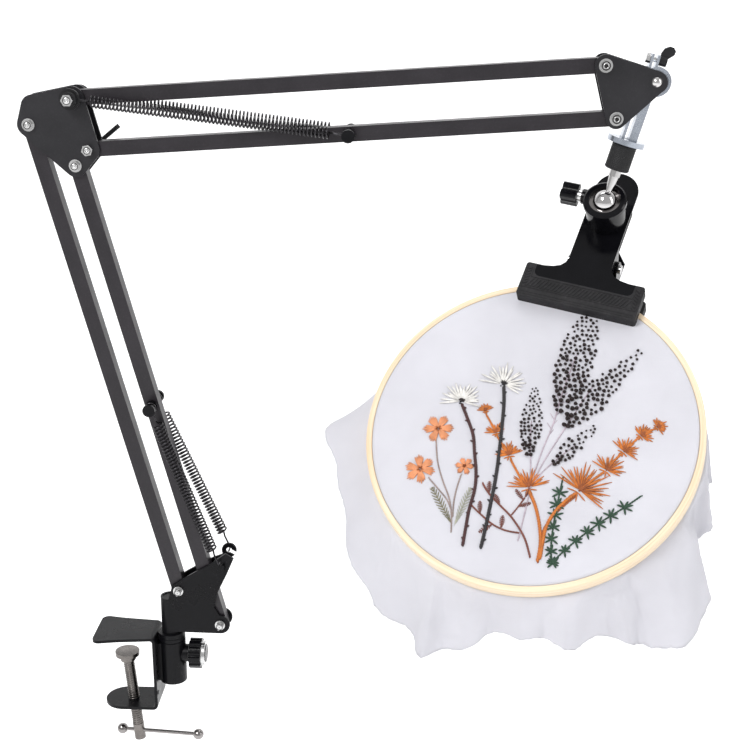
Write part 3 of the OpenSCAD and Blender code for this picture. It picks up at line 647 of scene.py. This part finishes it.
def bar(a, b, width, z, height):
    """Moulded rib from a to b, (x, u) in mm on a pad; its top is narrower than its foot."""
    dx, du = b[0] - a[0], b[1] - a[1]
    n = math.hypot(dx, du)
    sx, su = -du / n * width / 2, dx / n * width / 2
    ex, eu = dx / n * height, du / n * height
    verts = []
    for k, e, h in ((1.0, 0, 0.0), (0.55, 1, height)):
        for (px, pu), s, q in ((a, k, e), (b, k, -e), (b, -k, -e), (a, -k, e)):
            verts.append(loc(px + sx * s + ex * q, pu + su * s + eu * q, z + h))
    faces = [(0, 3, 2, 1), (4, 5, 6, 7), (0, 1, 5, 4), (1, 2, 6, 5), (2, 3, 7, 6), (3, 0, 4, 7)]
    return verts, faces


def pad_ribs(name, body, z, up):
    """Diagonal grip ribs inside a raised line, on the U-shaped rim that shows round the jaw."""
    parts, h, throat = [], 0.5 * up, -47.4
    for half, foot in ((39.6, -65.0), (35.2, -56.4)):
        line = [(-half, throat), (-half, foot), (half, foot), (half, throat)]
        parts += [bar(p, q, 0.8, z, h * 0.8) for p, q in zip(line, line[1:])]
    for i in range(28):
        x = -34.5 + 2.5 * i
        parts.append(bar((x - 1.9, -64.2), (x + 1.9, -57.3), 1.25, z, h))
    for s in (-1, 1):
        for i in range(7):
            u = -48.6 - 2.3 * i
            parts.append(bar((s * 36.0, u - 0.6), (s * 38.8, u - 2.6), 1.2, z, h))
    for u in (-68.6, -70.4):
        parts.append(bar((-39.5, u), (39.5, u), 0.5, z, h * 0.5))
    ob = make_object(name, merge(parts), "pad_rubber", body=body, smooth=False)
    if up < 0:
        ob.data.flip_normals()


def torsion_spring():
    """Coil round the jaw pin with one leg up each handle."""
    u, z, r, wire = -29.0, -33.7, 3.75, 0.85
    turns, half, per_turn = 8, 8.0, 18
    leg, leg_z, steps = 19, 10.6, 5

    def on_coil(x, a):
        return loc(x, u + r * math.sin(a), z - r * math.cos(a))

    n = turns * per_turn
    coil = [on_coil(-half + 2 * half * i / n, 2 * math.pi * i / per_turn) for i in range(n + 1)]
    top = [on_coil(half, math.pi * i / 4) for i in range(1, 5)]
    slope = (leg_z - r) / steps
    low_leg = [loc(-half, u + leg - leg * i / steps, z - leg_z + slope * i) for i in range(steps)]
    high_leg = [loc(half, u + leg * i / steps, z + r + slope * i) for i in range(1, steps + 1)]
    mesh = tube(low_leg + coil + top + high_leg, wire * MM, 8)
    ob = make_object("jaw_torsion_spring", mesh, "spring_steel", replaces=("jaw_spring",))
    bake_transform(ob)


def bolt_faces():
    """Painted shade as a dark ring round each washer and a dark hexagon in each head bolt's socket, and a bright
    driven socket, on each bolt head that faces the front.
    """
    low_elbow = JPOS["elbow_level"] + JPOS["lower_front_turn"] - JPOS["lower_lift"]
    low_head = JPOS["head_level"] + JPOS["upper_bottom_turn"] - JPOS["upper_lift"]
    sets = (("base_bolts", "turntable", (JPOS["lower_lift"], JPOS["lower_front_turn"]), 2.55),
            ("elbow_bolts", "elbow", (JPOS["elbow_level"], low_elbow, JPOS["upper_bottom_turn"]), 2.55),
            ("elbow_spring_bolt", "elbow", (JPOS["upper_lift"],), 2.7),
            ("head_bolts", "head", (JPOS["head_level"], low_head), 3.0))
    basis = dict(x=(1, 0, 0), y=(0, 0, 1), z=(0, -1, 0))
    back = -0.0002
    for node, body, places, r in sets:
        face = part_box(node)[0].y
        hexed = body == "head"
        mid = r - (0.75 if hexed else 0.4)
        hole = 0.0014 if hexed else 0.0001
        # painted shade: the dark ring, and on the head bolts the dark hexagon, stand for the shade in the washer
        # groove and the hex socket
        ring = [(r * MM, back), (r * MM, 0.0001), (mid * MM, 0.0001), (mid * MM, back)]
        hexagon = [(0.0, back), (0.00135, back), (0.00135, 0.00028), (0.0, 0.00028)]
        cup = [((mid - 0.12) * MM, back), ((mid - 0.16) * MM, 0.0003), ((mid - 0.4) * MM, 0.0006),
               (hole, 0.0008), (hole, back)]
        dark, bright = [], []
        for at in places:
            c = Vector((at.x, face, at.z))
            dark.append(lathe(ring, 32, c, closed=True, **basis))
            if hexed:
                dark.append(lathe(hexagon, 6, c, **basis))
            bright.append(lathe(cup, 32, c, closed=True, **basis))
        make_object(node + "_recess", merge(dark), "black_paint", "black_recess", body=body, smooth=False)
        make_object(node + "_socket", merge(bright), "zinc", body=body)


def knob_cap():
    """Black dished cap in the bright face of the post knob."""
    low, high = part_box("post_knob_grip")
    x = max(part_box("post_knob_stem")[1].x, high.x)
    c = Vector((x, (low.y + high.y) / 2, (low.z + high.z) / 2))
    profile = [(0.0068, -0.001), (0.0068, 0.0001), (0.0062, 0.00045), (0.0054, 0.00025), (0.0001, 0.0001)]
    mesh = lathe(profile, 40, c, (0, 1, 0), (0, 0, 1), (1, 0, 0))
    make_object("post_knob_cap", mesh, "black_gloss", body="post_knob")


def fittings():
    screw_thread()
    knob_cap()
    knurled_adapter()
    pad_ribs("front_pad_ribs", "gripper", -20.1, 1)
    pad_ribs("rear_pad_ribs", "rear_jaw", -47.3, -1)
    torsion_spring()
    bolt_faces()


# ------------------------ cloth

CLOTH_W = 296.0
CLOTH_TURN = 18.0
CLOTH_T = 0.35
CLOTH_R = HOOP_R - RING_T - 0.35
DEPTH = FACE_Z - BACK_Z
OPEN_FROM, OPEN_TO = 60.0, 120.0  # degrees between which nothing hangs free, behind the jaws
REACH = 64.0  # the most that hangs free, which rounds the corners off
LEFT = 192  # degrees to the corner that stands out at the left
DOWN = Vector((0.129, -0.702, -0.701)).normalized()  # straight down, in the spring clamp's frame


def hoop_at(x, u, h=0.0):
    """Millimetres on the cloth's face, from the hoop's centre, h above the cloth."""
    return loc(x, HOOP_U + u, FACE_Z + 0.2 + h)


def hash01(i, k=0.0):
    """Repeatable noise between 0 and 1."""
    return (math.sin(i * 12.9898 + k * 78.233) * 43758.5453) % 1.0


def radial(a):
    return Vector((math.cos(math.radians(a)), math.sin(math.radians(a)), 0))


def lobe(a, centre, power):
    """1 at the angle centre, falling to 0 a quarter turn away, faster for a higher power."""
    return max(0.0, math.cos(math.radians(a - centre))) ** power


def border(a):
    """Free length of the cloth beyond the ring at angle a, and the way it falls there."""
    t = math.radians(a - CLOTH_TURN)
    edge = CLOTH_W / 2 / max(abs(math.cos(t)), abs(math.sin(t)))
    ends = min(1.0, (a - OPEN_TO) / 14, (360 + OPEN_FROM - a) / 14)
    free = min(edge - CLOTH_R - DEPTH, REACH) * max(0.12, math.sin(math.pi / 2 * max(0.0, ends)))
    out = 0.2 + 0.45 * lobe(a, -25, 2) + 0.15 * lobe(a, 235, 4) + 0.45 * lobe(a, LEFT, 12)
    way = (radial(a) * out + DOWN * (1 - out)).normalized()
    return free, way


def flap_grid():
    """Free border as a grid over angle and length: its places cut flat, a first guess at how it hangs,
    the points under the rings and a weak hold on the folds at its left and right."""
    cols, rows, under_ring = 300, 24, 4.6
    flat, place, pins, hold = [], [], [], []
    for i in range(cols + 1):
        a = OPEN_TO + (360 + OPEN_FROM - OPEN_TO) * i / cols
        free, way = border(a)
        c = radial(a)
        free += 0.9 * (hash01(i, 3) - 0.5)
        for j in range(rows + 1):
            k = j / rows
            run = free * k
            flat.append(((CLOTH_R + DEPTH + run) * c.x, (CLOTH_R + DEPTH + run) * c.y))
            over = min(run, under_ring)
            wave = (4.2 * math.sin(math.radians(10 * a)) + 1.6 * math.sin(math.radians(23 * a + 40))) * k
            p = c * (CLOTH_R + over) + way * (run - over) + c * wave
            place.append(loc(p.x, HOOP_U + p.y, BACK_Z - 0.45 + p.z))
            if run < under_ring + 0.6:
                pins.append(len(place) - 1)
            hold.append(max(0.12 * lobe(a, LEFT, 12), 0.014 * lobe(a, -20, 6)))
    faces = []
    for i in range(cols):
        for j in range(rows):
            q = i * (rows + 1) + j
            faces.append((q, q + 1, q + rows + 2, q + rows + 1))
    return cols, rows, flat, place, faces, pins, hold


def hang_border(verts, flat, faces, pinned, hold):
    """Blender's cloth on the border alone, cut flat and pinned where it leaves the rings."""
    me = bpy.data.meshes.new("sim")
    me.from_pydata(verts, [], faces)
    ob = bpy.data.objects.new("sim", me)
    scene = bpy.context.scene
    scene.collection.objects.link(ob)
    ob.shape_key_add(name="hung")
    cut = ob.shape_key_add(name="cut")
    for point, (x, y) in zip(cut.data, flat):
        point.co = (x * MM, y * MM, 0)
    group = ob.vertex_groups.new(name="pin")
    for i, weight in enumerate(hold):
        group.add([i], weight, "REPLACE")
    group.add(pinned, 1.0, "REPLACE")
    mod = ob.modifiers.new("cloth", "CLOTH")
    c = mod.settings
    c.quality = 8
    c.mass = 0.002
    c.tension_stiffness = c.compression_stiffness = 15
    c.shear_stiffness = 5
    c.bending_stiffness = 0.02
    c.pin_stiffness = 14
    c.tension_damping = c.compression_damping = c.shear_damping = 5
    c.bending_damping = 0.5
    c.air_damping = 1
    c.vertex_group_mass = "pin"
    c.rest_shape_key = cut
    last = 46
    mod.point_cache.frame_start, mod.point_cache.frame_end = 1, last
    for frame_no in range(1, last + 1):
        scene.frame_set(frame_no)
    result = ob.evaluated_get(bpy.context.evaluated_depsgraph_get())
    out = [v.co.copy() for v in result.data.vertices]
    scene.frame_set(1)
    bpy.data.objects.remove(ob)
    bpy.data.meshes.remove(me)
    return out


def cloth():
    """One sheet: taut face, down between the rings, out under the back and free from there. Returns it,
    its free edge and its area when flat."""
    cols, rows, flat, verts, faces, pins, hold = flap_grid()
    verts = hang_border(verts, flat, faces, pins, hold)
    hem = [(verts[i * (rows + 1) + rows], verts[i * (rows + 1) + rows - 1]) for i in range(cols + 1)]
    ring = list(range(0, len(verts), rows + 1))
    angles = [OPEN_TO + (360 + OPEN_FROM - OPEN_TO) * i / cols for i in range(cols + 1)]
    behind = 30
    for i in range(1, behind):
        a = 360 + OPEN_FROM + (OPEN_TO - OPEN_FROM) * i / behind
        c = radial(a)
        angles.append(a)
        ring.append(len(verts))
        verts.append(loc(CLOTH_R * c.x, HOOP_U + CLOTH_R * c.y, BACK_Z + 0.3))
        flat.append(((CLOTH_R + DEPTH) * c.x, (CLOTH_R + DEPTH) * c.y))
    levels = [(CLOTH_R, FACE_Z - 0.6, CLOTH_R + 0.6), (CLOTH_R - 0.4, FACE_Z, CLOTH_R)]
    levels += [(CLOTH_R * k, FACE_Z, CLOTH_R * k) for k in (0.985, 0.95, 0.85, 0.7, 0.5, 0.3, 0.12)]
    n = len(angles)
    for r, z, flat_r in levels:
        now = []
        for a in angles:
            c = radial(a)
            now.append(len(verts))
            verts.append(loc(r * c.x, HOOP_U + r * c.y, z))
            flat.append((flat_r * c.x, flat_r * c.y))
        for i in range(n):
            faces.append((ring[i], ring[(i + 1) % n], now[(i + 1) % n], now[i]))
        ring = now
    middle = len(verts)
    verts.append(loc(0, HOOP_U, FACE_Z))
    flat.append((0, 0))
    faces += [(ring[i], ring[(i + 1) % n], middle) for i in range(n)]
    ob = make_object("cloth", (verts, faces), "cotton", body="hoop", replaces=("cloth_face", "cloth_skirt"))
    me = ob.data
    layer = me.uv_layers.new(name="cloth")
    co, si = math.cos(math.radians(CLOTH_TURN)), math.sin(math.radians(CLOTH_TURN))
    for l in me.loops:
        x, y = flat[l.vertex_index]
        layer.data[l.index].uv = ((x * co + y * si) * MM, (-x * si + y * co) * MM)
    area = 0.0
    for p in me.polygons:
        uv = [layer.data[i].uv for i in p.loop_indices]
        area += abs(sum(a.x * b.y - b.x * a.y for a, b in zip(uv, uv[1:] + uv[:1]))) / 2
    solid = ob.modifiers.new("thickness", "SOLIDIFY")
    solid.thickness = CLOTH_T * MM
    solid.offset = 0
    return ob, hem, area


def fray(hem):
    """Loose warp ends along the torn edge, each a fine bent thread."""
    parts, wire, buried = [], 0.00011, 0.0006
    for i, (tip, inner) in enumerate(hem):
        along = hem[min(i + 1, len(hem) - 1)][0] - hem[max(i - 1, 0)][0]
        way = (tip - inner).normalized()
        for k in (0.0, 0.34, 0.67):
            root = tip - way * buried + along * (k - 0.5) * 0.5
            size = 0.0014 + 0.0026 * hash01(i, k) ** 2
            side = along.normalized() * (hash01(i, k + 5) - 0.5) * 1.1
            pts = [root, root + (way + side * 0.3) * size * 0.5, root + (way + side) * size]
            parts.append(tube(pts, wire, 3))
    return make_object("frayed_edge", merge(parts), "cotton", "lint", body="hoop")


# ------------------------ embroidery

class Stitches:
    """Collects raised stitches of one thread; a and b are (x, u) in mm on the cloth's face."""

    def __init__(self, name, colour):
        self.name, self.colour = name, colour
        self.verts, self.faces, self.uvs = [], [], []

    def skin(self, base, rows, sides):
        for i in range(rows):
            p, q = base + i * sides, base + (i + 1) * sides
            for j in range(sides):
                j2 = (j + 1) % sides
                self.faces.append((p + j, p + j2, q + j2, q + j))

    def cap(self, first, sides, back):
        face = tuple(first + j for j in range(sides))
        self.faces.append(face[::-1] if back else face)

    def stitch(self, a, b, width=0.9, height=None, taper=0.35):
        height = width * 0.62 if height is None else height
        ax, au = a
        dx, du = b[0] - ax, b[1] - au
        length = math.hypot(dx, du) or 0.01
        sx, su = -du / length, dx / length
        steps, sides = (5 if length > 2.2 else 4), 6
        base = len(self.verts)
        for i in range(steps + 1):
            k = i / steps
            full = math.sin(math.pi * k) ** 0.35 if 0 < k < 1 else 0.0
            w = width / 2 * (taper + (1 - taper) * full)
            top = height * (0.25 + 0.75 * full)
            for j in range(sides):
                t = 2 * math.pi * j / sides
                c = math.cos(t) * w
                rise = top * 0.5 + math.sin(t) * top * 0.5
                self.verts.append(hoop_at(ax + dx * k + sx * c, au + du * k + su * c, rise))
                self.uvs.append((length * k * MM, j / sides))
        self.skin(base, steps, sides)
        self.cap(base, sides, True)
        self.cap(base + steps * sides, sides, False)

    def knot(self, x, u, r):
        """French knot: a low, slightly three-cornered bead."""
        rings, sides = 4, 8
        base = len(self.verts)
        for i in range(rings + 1):
            p = math.pi * (0.12 + 0.88 * i / rings)
            rise = 0.75 * r * (1 + math.cos(p)) - 0.1
            for j in range(sides):
                t = 2 * math.pi * j / sides
                rr = r * math.sin(p) * (1 + 0.12 * math.sin(3 * t + x))
                self.verts.append(hoop_at(x + rr * math.cos(t), u + rr * math.sin(t), rise))
                self.uvs.append((j / sides * 0.004, i * 0.4))
        self.skin(base, rings, sides)
        self.cap(base, sides, False)
        self.cap(base + rings * sides, sides, True)

    def rope(self, path, width, pitch):
        """Stem stitch: short overlapping stitches laid slantwise along a smooth path."""
        spacing, slant = 0.6, 0.35
        pts = smooth_path(path, spacing)
        step = int(pitch / spacing)
        for i in range(0, len(pts) - 1, step):
            a, b = pts[i], pts[min(len(pts) - 1, i + int(step * 1.75))]
            dx, du = b[0] - a[0], b[1] - a[1]
            n = math.hypot(dx, du) or 1
            sx, su = -du / n * width * slant, dx / n * width * slant
            self.stitch((a[0] + sx, a[1] + su), (b[0] - sx, b[1] - su), width, taper=0.3)

    def done(self):
        thread(self.name, self.colour)
        ob = make_object(self.name, (self.verts, self.faces), "cotton", self.name, body="hoop")
        layer = ob.data.uv_layers.new(name="ply")
        for l in ob.data.loops:
            layer.data[l.index].uv = self.uvs[l.vertex_index]
        return ob


def smooth_path(path, spacing):
    """Catmull-Rom through (x, u) points, resampled evenly."""
    p = [path[0]] + list(path) + [path[-1]]
    fine = []
    for i in range(1, len(p) - 2):
        for k in range(24):
            t = k / 24
            fine.append(tuple(0.5 * (2 * p[i][c] + (p[i + 1][c] - p[i - 1][c]) * t
                                     + (2 * p[i - 1][c] - 5 * p[i][c] + 4 * p[i + 1][c] - p[i + 2][c]) * t * t
                                     + (3 * p[i][c] - 3 * p[i + 1][c] + p[i + 2][c] - p[i - 1][c]) * t ** 3)
                              for c in (0, 1)))
    fine.append(tuple(path[-1]))
    out, left = [fine[0]], spacing
    for a, b in zip(fine, fine[1:]):
        d = math.hypot(b[0] - a[0], b[1] - a[1])
        while d >= left > 0:
            k = left / d
            a = (a[0] + (b[0] - a[0]) * k, a[1] + (b[1] - a[1]) * k)
            out.append(a)
            d -= left
            left = spacing
        left -= d
    return out + [fine[-1]]


def polar(c, r, deg):
    return c[0] + r * math.cos(math.radians(deg)), c[1] + r * math.sin(math.radians(deg))


def jit(k):
    return rnd.uniform(-k, k)


def fan_flower(petals, calyx, core, c, aim, r):
    """Half-open daisy seen from the side: a fan of long white stitches over a dark cup."""
    for i in range(17):
        d = aim - 98 + 196 * i / 16 + jit(3)
        root = polar(c, r * 0.14 + jit(0.3), d)
        petals.stitch(root, polar(c, r * (0.92 + jit(0.14)), d + jit(3)), 1.45, height=1.2)
    for i in range(8):
        d = aim - 70 + 140 * i / 7 + jit(5)
        petals.stitch(polar(c, r * 0.2, d), polar(c, r * (0.62 + jit(0.1)), d), 1.3, height=1.7)
    for i in range(9):
        d = aim - 60 + 120 * i / 8 + jit(6)
        calyx.stitch(polar(c, 0.3, d + 180), polar(c, r * (0.2 + rnd.random() * 0.14), d), 0.8)
    for i in range(10):
        core.knot(*polar(c, rnd.uniform(0, r * 0.13), rnd.uniform(0, 360)), 0.55)


def open_flower(t, dark, c, r, turn):
    """Six satin petals round a few dark stitches."""
    for p in range(6):
        mid = turn + 60 * p + jit(5)
        for i in range(-2, 3):
            root = polar(c, r * 0.08, mid + i * 14)
            tip = polar(c, r * (0.98 - 0.07 * abs(i) + jit(0.04)), mid + i * 8.5)
            t.stitch(root, tip, r * 0.135, height=1.1)
    for i in range(5):
        dark.stitch(polar(c, r * 0.02, 72 * i), polar(c, r * 0.26, 72 * i + jit(12)), 0.45, height=1.5)


def burst(t, dark, c, aim, r, spread, count):
    """Thistle-like head: stitches fan out of one point, with a short cup behind them."""
    for i in range(count):
        d = aim - spread / 2 + spread * i / (count - 1) + jit(4)
        t.stitch(polar(c, r * 0.06, d), polar(c, r * (0.9 + jit(0.16)), d), 1.05, height=0.85)
    for i in range(int(count * 0.6)):
        d = aim - spread / 2.6 + spread / 1.3 * i / (count * 0.6)
        tip = polar(c, r * (0.5 + jit(0.12)), d + jit(5))
        dark.stitch(polar(c, r * 0.05, d + 180), tip, 0.8, height=1.15)
    for i in range(4):
        t.stitch(polar(c, r * 0.1, aim + 180 + jit(25)), polar(c, r * 0.42, aim + 180 + (i - 1.5) * 42), 0.95)


def thorns(t, path, count, size):
    """Short thorns, left and right by turns, pointing up a stem that is given from its top."""
    pts = smooth_path(path, 1.0)
    for i in range(count):
        q = int((len(pts) - 3) * (i + 0.7) / count)
        a, b = pts[q + 1], pts[q]
        way = math.degrees(math.atan2(b[1] - a[1], b[0] - a[0]))
        side = 52 if i % 2 else -52
        t.stitch(b, polar(b, size * rnd.uniform(0.7, 1.1), way + side), 1.25, height=1.2, taper=0.2)


def satin_leaf(t, a, b, width, count):
    """Leaf from stem end a to tip b, laid in slanting stitches either side of the midrib."""
    dx, du = b[0] - a[0], b[1] - a[1]
    n = math.hypot(dx, du)
    sx, su = -du / n, dx / n
    for i in range(count):
        k = (i + 0.5) / count
        ahead = min(1.0, k + 0.12)
        half = width / 2 * math.sin(math.pi * k) ** 0.7
        for w in (-half, half):
            side = (a[0] + dx * ahead + sx * w, a[1] + du * ahead + su * w)
            t.stitch((a[0] + dx * k, a[1] + du * k), side, 0.75)
    t.stitch(a, b, 0.6, height=0.9)


def spindle(t, a, b, width, count, size, heavy=1.0):
    """French knots scattered in a spindle from tip a to foot b; heavy moves its widest part to the foot."""
    dx, du = b[0] - a[0], b[1] - a[1]
    n = math.hypot(dx, du)
    sx, su = -du / n, dx / n
    apart, within = size * 2.25, 98
    placed = []
    for _ in range(count * 40):
        if len(placed) == count:
            break
        k = rnd.random()
        w = width / 2 * math.sin(math.pi * (0.05 + 0.9 * k ** heavy)) ** 0.8
        o = rnd.uniform(-1, 1) * w
        x, u = a[0] + dx * k + sx * o, a[1] + du * k + su * o
        clear = all((x - p[0]) ** 2 + (u - p[1]) ** 2 > apart ** 2 for p in placed)
        if clear and math.hypot(x, u) < within:
            placed.append((x, u))
            t.knot(x, u, size * rnd.uniform(0.8, 1.25) * (0.72 + 0.5 * k))


def leafy_sprig(t, path):
    """Stem with clusters of short pointed leaves."""
    clusters, size = 7, 6.2
    t.rope(path, 1.0, 2.0)
    pts = smooth_path(path, 1.0)
    for i in range(clusters):
        q = int((len(pts) - 2) * (1 - i / clusters * 0.92))
        a, b = pts[max(0, q - 2)], pts[min(len(pts) - 1, q + 1)]
        aim = math.degrees(math.atan2(a[1] - b[1], a[0] - b[0]))
        k = size * (0.75 + 0.25 * i / clusters)
        for d in (-118, -62, -14, 30, 75, 125):
            p = polar(pts[q], k * (0.9 + jit(0.12)), aim + d + jit(8))
            t.stitch(pts[q], p, 1.35, height=0.9, taper=0.25)


def white_flowers(white, maroon, brown, black):
    """Two white fan flowers on their tall thorny stems."""
    fan_flower(white, brown, black, (-51.0, 6.5), 100, 14.5)
    fan_flower(white, black, black, (-28.6, 26.0), 85, 16)
    left = [(-50.4, 5.0), (-41.5, -6), (-35.0, -15), (-30.3, -26), (-25.0, -38), (-21.6, -50),
            (-20.4, -64), (-18.0, -78), (-16.1, -88)]
    right = [(-28.0, 25), (-23.4, 12), (-18.3, -8), (-13.6, -28), (-10.5, -44), (-8.2, -60),
             (-6.2, -74), (-4.8, -86)]
    maroon.rope(left, 1.9, 2.3)
    black.rope(right, 2.1, 2.3)
    thorns(maroon, left, 12, 3.0)
    thorns(black, right, 13, 3.4)


def peach_flowers(peach, rust, taupe, olive, pale):
    """Three peach flowers with taupe stems and two leaves."""
    open_flower(peach, rust, (-58.9, -16.4), 10.5, 20)
    open_flower(peach, rust, (-60.4, -46.7), 10.5, 0)
    open_flower(peach, rust, (-33.4, -36.6), 6.6, 10)
    for path in ([(-57.6, -24), (-51.5, -38), (-43.5, -50), (-35.5, -60), (-30.2, -70), (-26, -82)],
                 [(-53.5, -50.5), (-44, -56.5), (-36.5, -61.5), (-31.6, -67)],
                 [(-33.4, -42), (-33, -52), (-31.5, -62), (-28.6, -72)]):
        taupe.rope(path, 0.9, 2.0)
    satin_leaf(olive, (-27.5, -76.5), (-48.6, -56.5), 6.0, 12)
    satin_leaf(pale, (-25.8, -77), (-24.4, -49.5), 5.6, 12)


def orange_sprigs(orange, rust):
    """Two orange sprigs; each head is its centre, aim and reach."""
    for c, aim, r in (((-33.5, 4.5), 118, 5.6), ((-21.8, -8.6), 120, 7.6), ((-8.6, -21.2), 118, 9.6),
                      ((10.6, -38.6), 112, 13.5)):
        burst(orange, rust, c, aim, r, 168 if r > 9 else 150, 17 if r > 9 else 12)
    for path, width in (([(-32.8, 2.5), (-27.5, -2.5), (-22.5, -8)], 1.2),
                        ([(-21, -10), (-15.5, -15), (-9.5, -20.5)], 1.3),
                        ([(-7.4, -23), (-1.5, -29), (6.4, -37)], 1.4)):
        orange.rope(path, width, 2.0)
    orange.rope([(11.5, -41), (18.2, -49), (24.6, -60), (29.4, -72), (31.4, -84)], 1.9, 2.2)
    rust.rope([(12.5, -43), (19.2, -51), (25.4, -62), (30.2, -74), (32.0, -85)], 1.0, 2.4)
    for c, aim, r in (((75.2, 23.6), 48, 6.6), ((67.2, 15.0), 60, 8.2), ((60.2, 1.6), 66, 10.0),
                      ((53.6, -13.6), 72, 12.0), ((41.8, -31.5), 68, 19.5)):
        burst(orange, rust, c, aim, r, 190 if r > 15 else 172, 23 if r > 15 else 15)
    for path, width in (([(74, 22), (70, 18), (67.6, 15.5)], 1.3),
                        ([(66, 13), (63, 7.5), (60.8, 2.5)], 1.3),
                        ([(59, -0.5), (56, -7), (54, -13)], 1.4),
                        ([(52.5, -15.5), (47, -23), (42.8, -30)], 1.5)):
        orange.rope(path, width, 2.0)
    orange.rope([(40.6, -33.5), (35.6, -41), (31.4, -50), (29.4, -61), (30.6, -71), (32.3, -82)], 2.0, 2.2)
    rust.rope([(41.4, -35), (36.6, -42.5), (32, -51.5), (28.4, -62), (29.6, -72)], 1.0, 2.4)


def dark_ears(brown, lilac):
    """Four ears of dark knots on lilac stalks."""
    spindle(brown, (10.0, 95), (12.5, 17), 23.5, 150, 1.2)
    spindle(brown, (50.0, 73), (19.5, 8), 18.5, 100, 1.2, 1.5)
    spindle(brown, (-7.8, 29), (3.4, -18), 13.5, 74, 0.95, 1.1)
    spindle(brown, (37.4, 13), (20.4, -19), 11, 34, 1.05)
    tall = [(10.6, 60), (10.4, 30), (11.6, 8), (10.8, -14), (11.4, -34), (13.6, -54), (15.7, -75)]
    lilac.rope(tall, 0.8, 2.6)
    lilac.rope([(27.5, 40), (21.5, 14), (16.5, -8), (13.4, -24), (12.2, -38)], 0.8, 2.6)
    lilac.rope([(-2.6, 6), (2.2, -10), (7.6, -26), (11.2, -40)], 0.7, 2.6)
    lilac.rope([(29.5, -3), (22.5, -14), (15.8, -26), (12.6, -36)], 0.7, 2.6)
    for i in range(16):
        k = i / 15
        reach = (4.5 if i % 2 else -4.5) * (1 - 0.4 * k)
        lilac.stitch((10.4 + 1.5 * k, 52 - 52 * k), (10.4 + reach, 56 - 52 * k), 0.55)


def red_branch(t):
    """Red-brown branch that crosses the stems, with its leaves from stem end to tip."""
    upper = [(-18.8, -44), (-12, -50), (-2.8, -55.5), (6, -60.5), (13.6, -66.5), (20, -73), (26.5, -83)]
    t.rope(upper, 1.2, 2.2)
    t.rope([(-21.5, -60), (-13, -64.5), (-3, -69), (6, -70.5), (15, -69.5)], 1.1, 2.2)
    t.rope([(6, -60.5), (8.6, -53), (10.6, -46)], 0.9, 2.0)
    for a, b, width in (((-12, -50), (-14.5, -42), 3.4), ((-2.8, -55.5), (-8.2, -49.5), 3.4),
                        ((10.4, -48), (3.2, -42.5), 3.2), ((10.6, -46), (11.6, -38.5), 3.2),
                        ((8.6, -53), (15.2, -48.5), 3.2), ((-3, -69), (-9.5, -76.5), 3.8),
                        ((-13, -64.5), (-15.8, -56.5), 3.4), ((3, -70), (1.2, -61.5), 3.6)):
        satin_leaf(t, a, b, width, 7)


THREADS = {"white": (0.82, 0.80, 0.77), "maroon": (0.055, 0.013, 0.013), "black": (0.014, 0.012, 0.014),
           "brown": (0.020, 0.006, 0.006), "peach": (0.78, 0.31, 0.14), "rust": (0.33, 0.085, 0.018),
           "orange": (0.58, 0.165, 0.020), "taupe": (0.36, 0.28, 0.26), "olive": (0.24, 0.22, 0.14),
           "pale_green": (0.46, 0.46, 0.37), "lilac": (0.55, 0.46, 0.53), "green": (0.018, 0.062, 0.032),
           "red_brown": (0.20, 0.060, 0.042)}


def embroidery():
    """Wild flowers, one piece for each thread."""
    threads = [Stitches("thread_" + name, colour) for name, colour in THREADS.items()]
    white, maroon, black, brown, peach, rust, orange, taupe, olive, pale, lilac, green, red_brown = threads
    white_flowers(white, maroon, brown, black)
    peach_flowers(peach, rust, taupe, olive, pale)
    orange_sprigs(orange, rust)
    dark_ears(brown, lilac)
    leafy_sprig(green, [(29, -25), (31.5, -46), (34, -62), (36.8, -74), (40.5, -83)])
    leafy_sprig(green, [(79.5, -23.5), (71, -35), (60.5, -48), (51, -62), (44, -74), (40.2, -82)])
    red_branch(red_brown)
    return [t.done() for t in threads]


camera()
studio()
make_materials()
dress_nodes()
springs()
hoop()
fittings()
fabric, free_edge, cut_area = cloth()
with_cloth = embroidery() + [fray(free_edge)]
